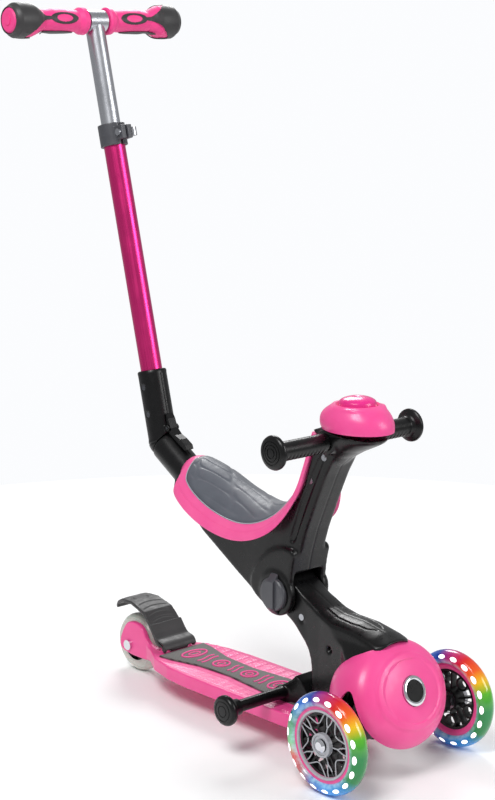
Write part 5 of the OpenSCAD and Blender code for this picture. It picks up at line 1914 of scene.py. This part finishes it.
    def build(self) -> None:
        """Makes the elbow's skin and its lip, the collar and the dark parts of the grips."""
        self.hang(self.elbow(), "push_bar", Slot.BLACK, "elbow")
        self.hang(self.tube_ring(), "push_bar", Slot.BLACK)
        self.hang(self.collar(), "push_bar", Slot.KNOB, "clamp_collar")
        for side in Side:
            piece = self.hang(self.overlay(side), "upper_bar", Slot.DARK)
            if side is Side.RIGHT:
                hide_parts("grip_overlays")


# ------------------------------------------------------------------ studio


@dataclass
class StudioSizes:
    """Where the camera stands in metres, the surround's strengths, and the floor's radius in millimetres."""

    # How strongly the white surround lights the scooter, and how much is added where it is seen
    glow: float = 0.42
    backdrop: float = 0.62
    floor: float = 1300.0
    eye: Point3 = (-1.480, -1.6332, 0.8414)
    right: Point3 = (0.739, -0.6735, 0.0)
    up: Point3 = (0.1298, 0.1424, 0.981)
    lens: float = 80.95
    shift: Point2 = (-0.0019, -0.0009)


class Studio:
    """A camera, a pale floor and soft lights."""

    def __init__(self, sizes: StudioSizes) -> None:
        """Takes the sizes."""
        self.sizes = sizes

    def camera(self) -> bpy.types.Object:
        """The camera, which looks down a little at the right front of the scooter."""
        s = self.sizes
        lens = bpy.data.cameras.new("camera")
        lens.lens, lens.sensor_width = s.lens, 36
        lens.shift_x, lens.shift_y = s.shift
        eye = bpy.data.objects.new("camera", lens)
        right, up = Vector(s.right).normalized(), Vector(s.up).normalized()
        back = right.cross(up).normalized()
        up = back.cross(right)
        turn = Matrix((right, up, back)).transposed().to_4x4()
        eye.matrix_world = Matrix.Translation(s.eye) @ turn
        bpy.context.scene.collection.objects.link(eye)
        bpy.context.scene.camera = eye
        return eye

    def floor(self) -> bpy.types.Object:
        """A round pale floor that isn't part of the scooter."""
        turns = np.linspace(0, 2 * math.pi, 96, endpoint=False)
        made = new_mesh("floor", [(self.sizes.floor * math.cos(a), self.sizes.floor * math.sin(a), 0)
            for a in turns],
                        [list(range(len(turns)))])
        paint = Moulding("Studio_floor_white", "#FFFFFF", "#FDFDFD", 0.75, grain=3.0, relief=0.01,
            patch=400)
        made.data.materials.append(paint.material())
        return made

    def lamp(self, name: str, at: Point3, to: Point3, power: float, size: float) -> bpy.types.Object:
        """A square soft light.

        Args:
            name: its name.
            at: where it stands, in metres.
            to: what it points at.
            power: its power in watts.
            size: its side in metres.

        Returns:
            The light.
        """
        light = bpy.data.lights.new(name, "AREA")
        light.energy, light.size = power, size
        made = bpy.data.objects.new(name, light)
        way = (Vector(to) - Vector(at)).to_track_quat("-Z", "Y")
        made.matrix_world = Matrix.Translation(at) @ way.to_matrix().to_4x4()
        bpy.context.scene.collection.objects.link(made)
        return made

    def build(self) -> None:
        """Sets up the camera, floor, lights and the pale surroundings."""
        self.camera()
        self.floor()
        self.lamp("key", (-1.5, -0.6, 2.4), (0, 0, 0.35), 44, 1.1)
        self.lamp("fill", (1.2, -2.4, 1.5), (0, 0, 0.4), 26, 1.2)
        self.lamp("rim", (1.4, 1.6, 2.0), (0, 0, 0.5), 30, 1.0)
        world = bpy.data.worlds.new("studio")
        world.use_nodes = True
        world.node_tree.nodes["Background"].inputs["Color"].default_value = linear("#F7F8FA")
        seen = add_node(world.node_tree, "ShaderNodeLightPath")
        strength = add_node(world.node_tree, "ShaderNodeMath", {"operation": "MULTIPLY_ADD"}, {
            0: seen.outputs["Is Camera Ray"], 1: self.sizes.backdrop, 2: self.sizes.glow})
        world.node_tree.links.new(strength.outputs[0],
            world.node_tree.nodes["Background"].inputs["Strength"])
        bpy.context.scene.world = world
        bpy.context.scene.view_settings.view_transform = "Standard"


def main() -> None:
    """Builds the sub-assemblies in order."""
    logging.basicConfig(level=logging.INFO, format="%(name)s: %(message)s")
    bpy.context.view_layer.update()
    Studio(StudioSizes()).build()
    wardrobe = Wardrobe()
    saddle = Saddle(wardrobe)
    groups: list[SubAssembly] = [
        FrontWheel(wardrobe, Side.RIGHT), FrontWheel(wardrobe, Side.LEFT), RearWheel(wardrobe),
        Deck(wardrobe),
        Brake(wardrobe), SteeringHead(wardrobe), Nose(wardrobe), Stem(wardrobe), FootRest(wardrobe),
        SeatFrame(wardrobe, saddle), saddle, ChildHandle(wardrobe), PushBar(wardrobe),
    ]
    for group in groups:
        group.build()
        group.dress_kept()
        for piece in group.pieces:
            LOG.info("%s: %s, %d faces", type(group).__name__, piece.name, len(piece.data.polygons))


if __name__ == "__main__":
    main()
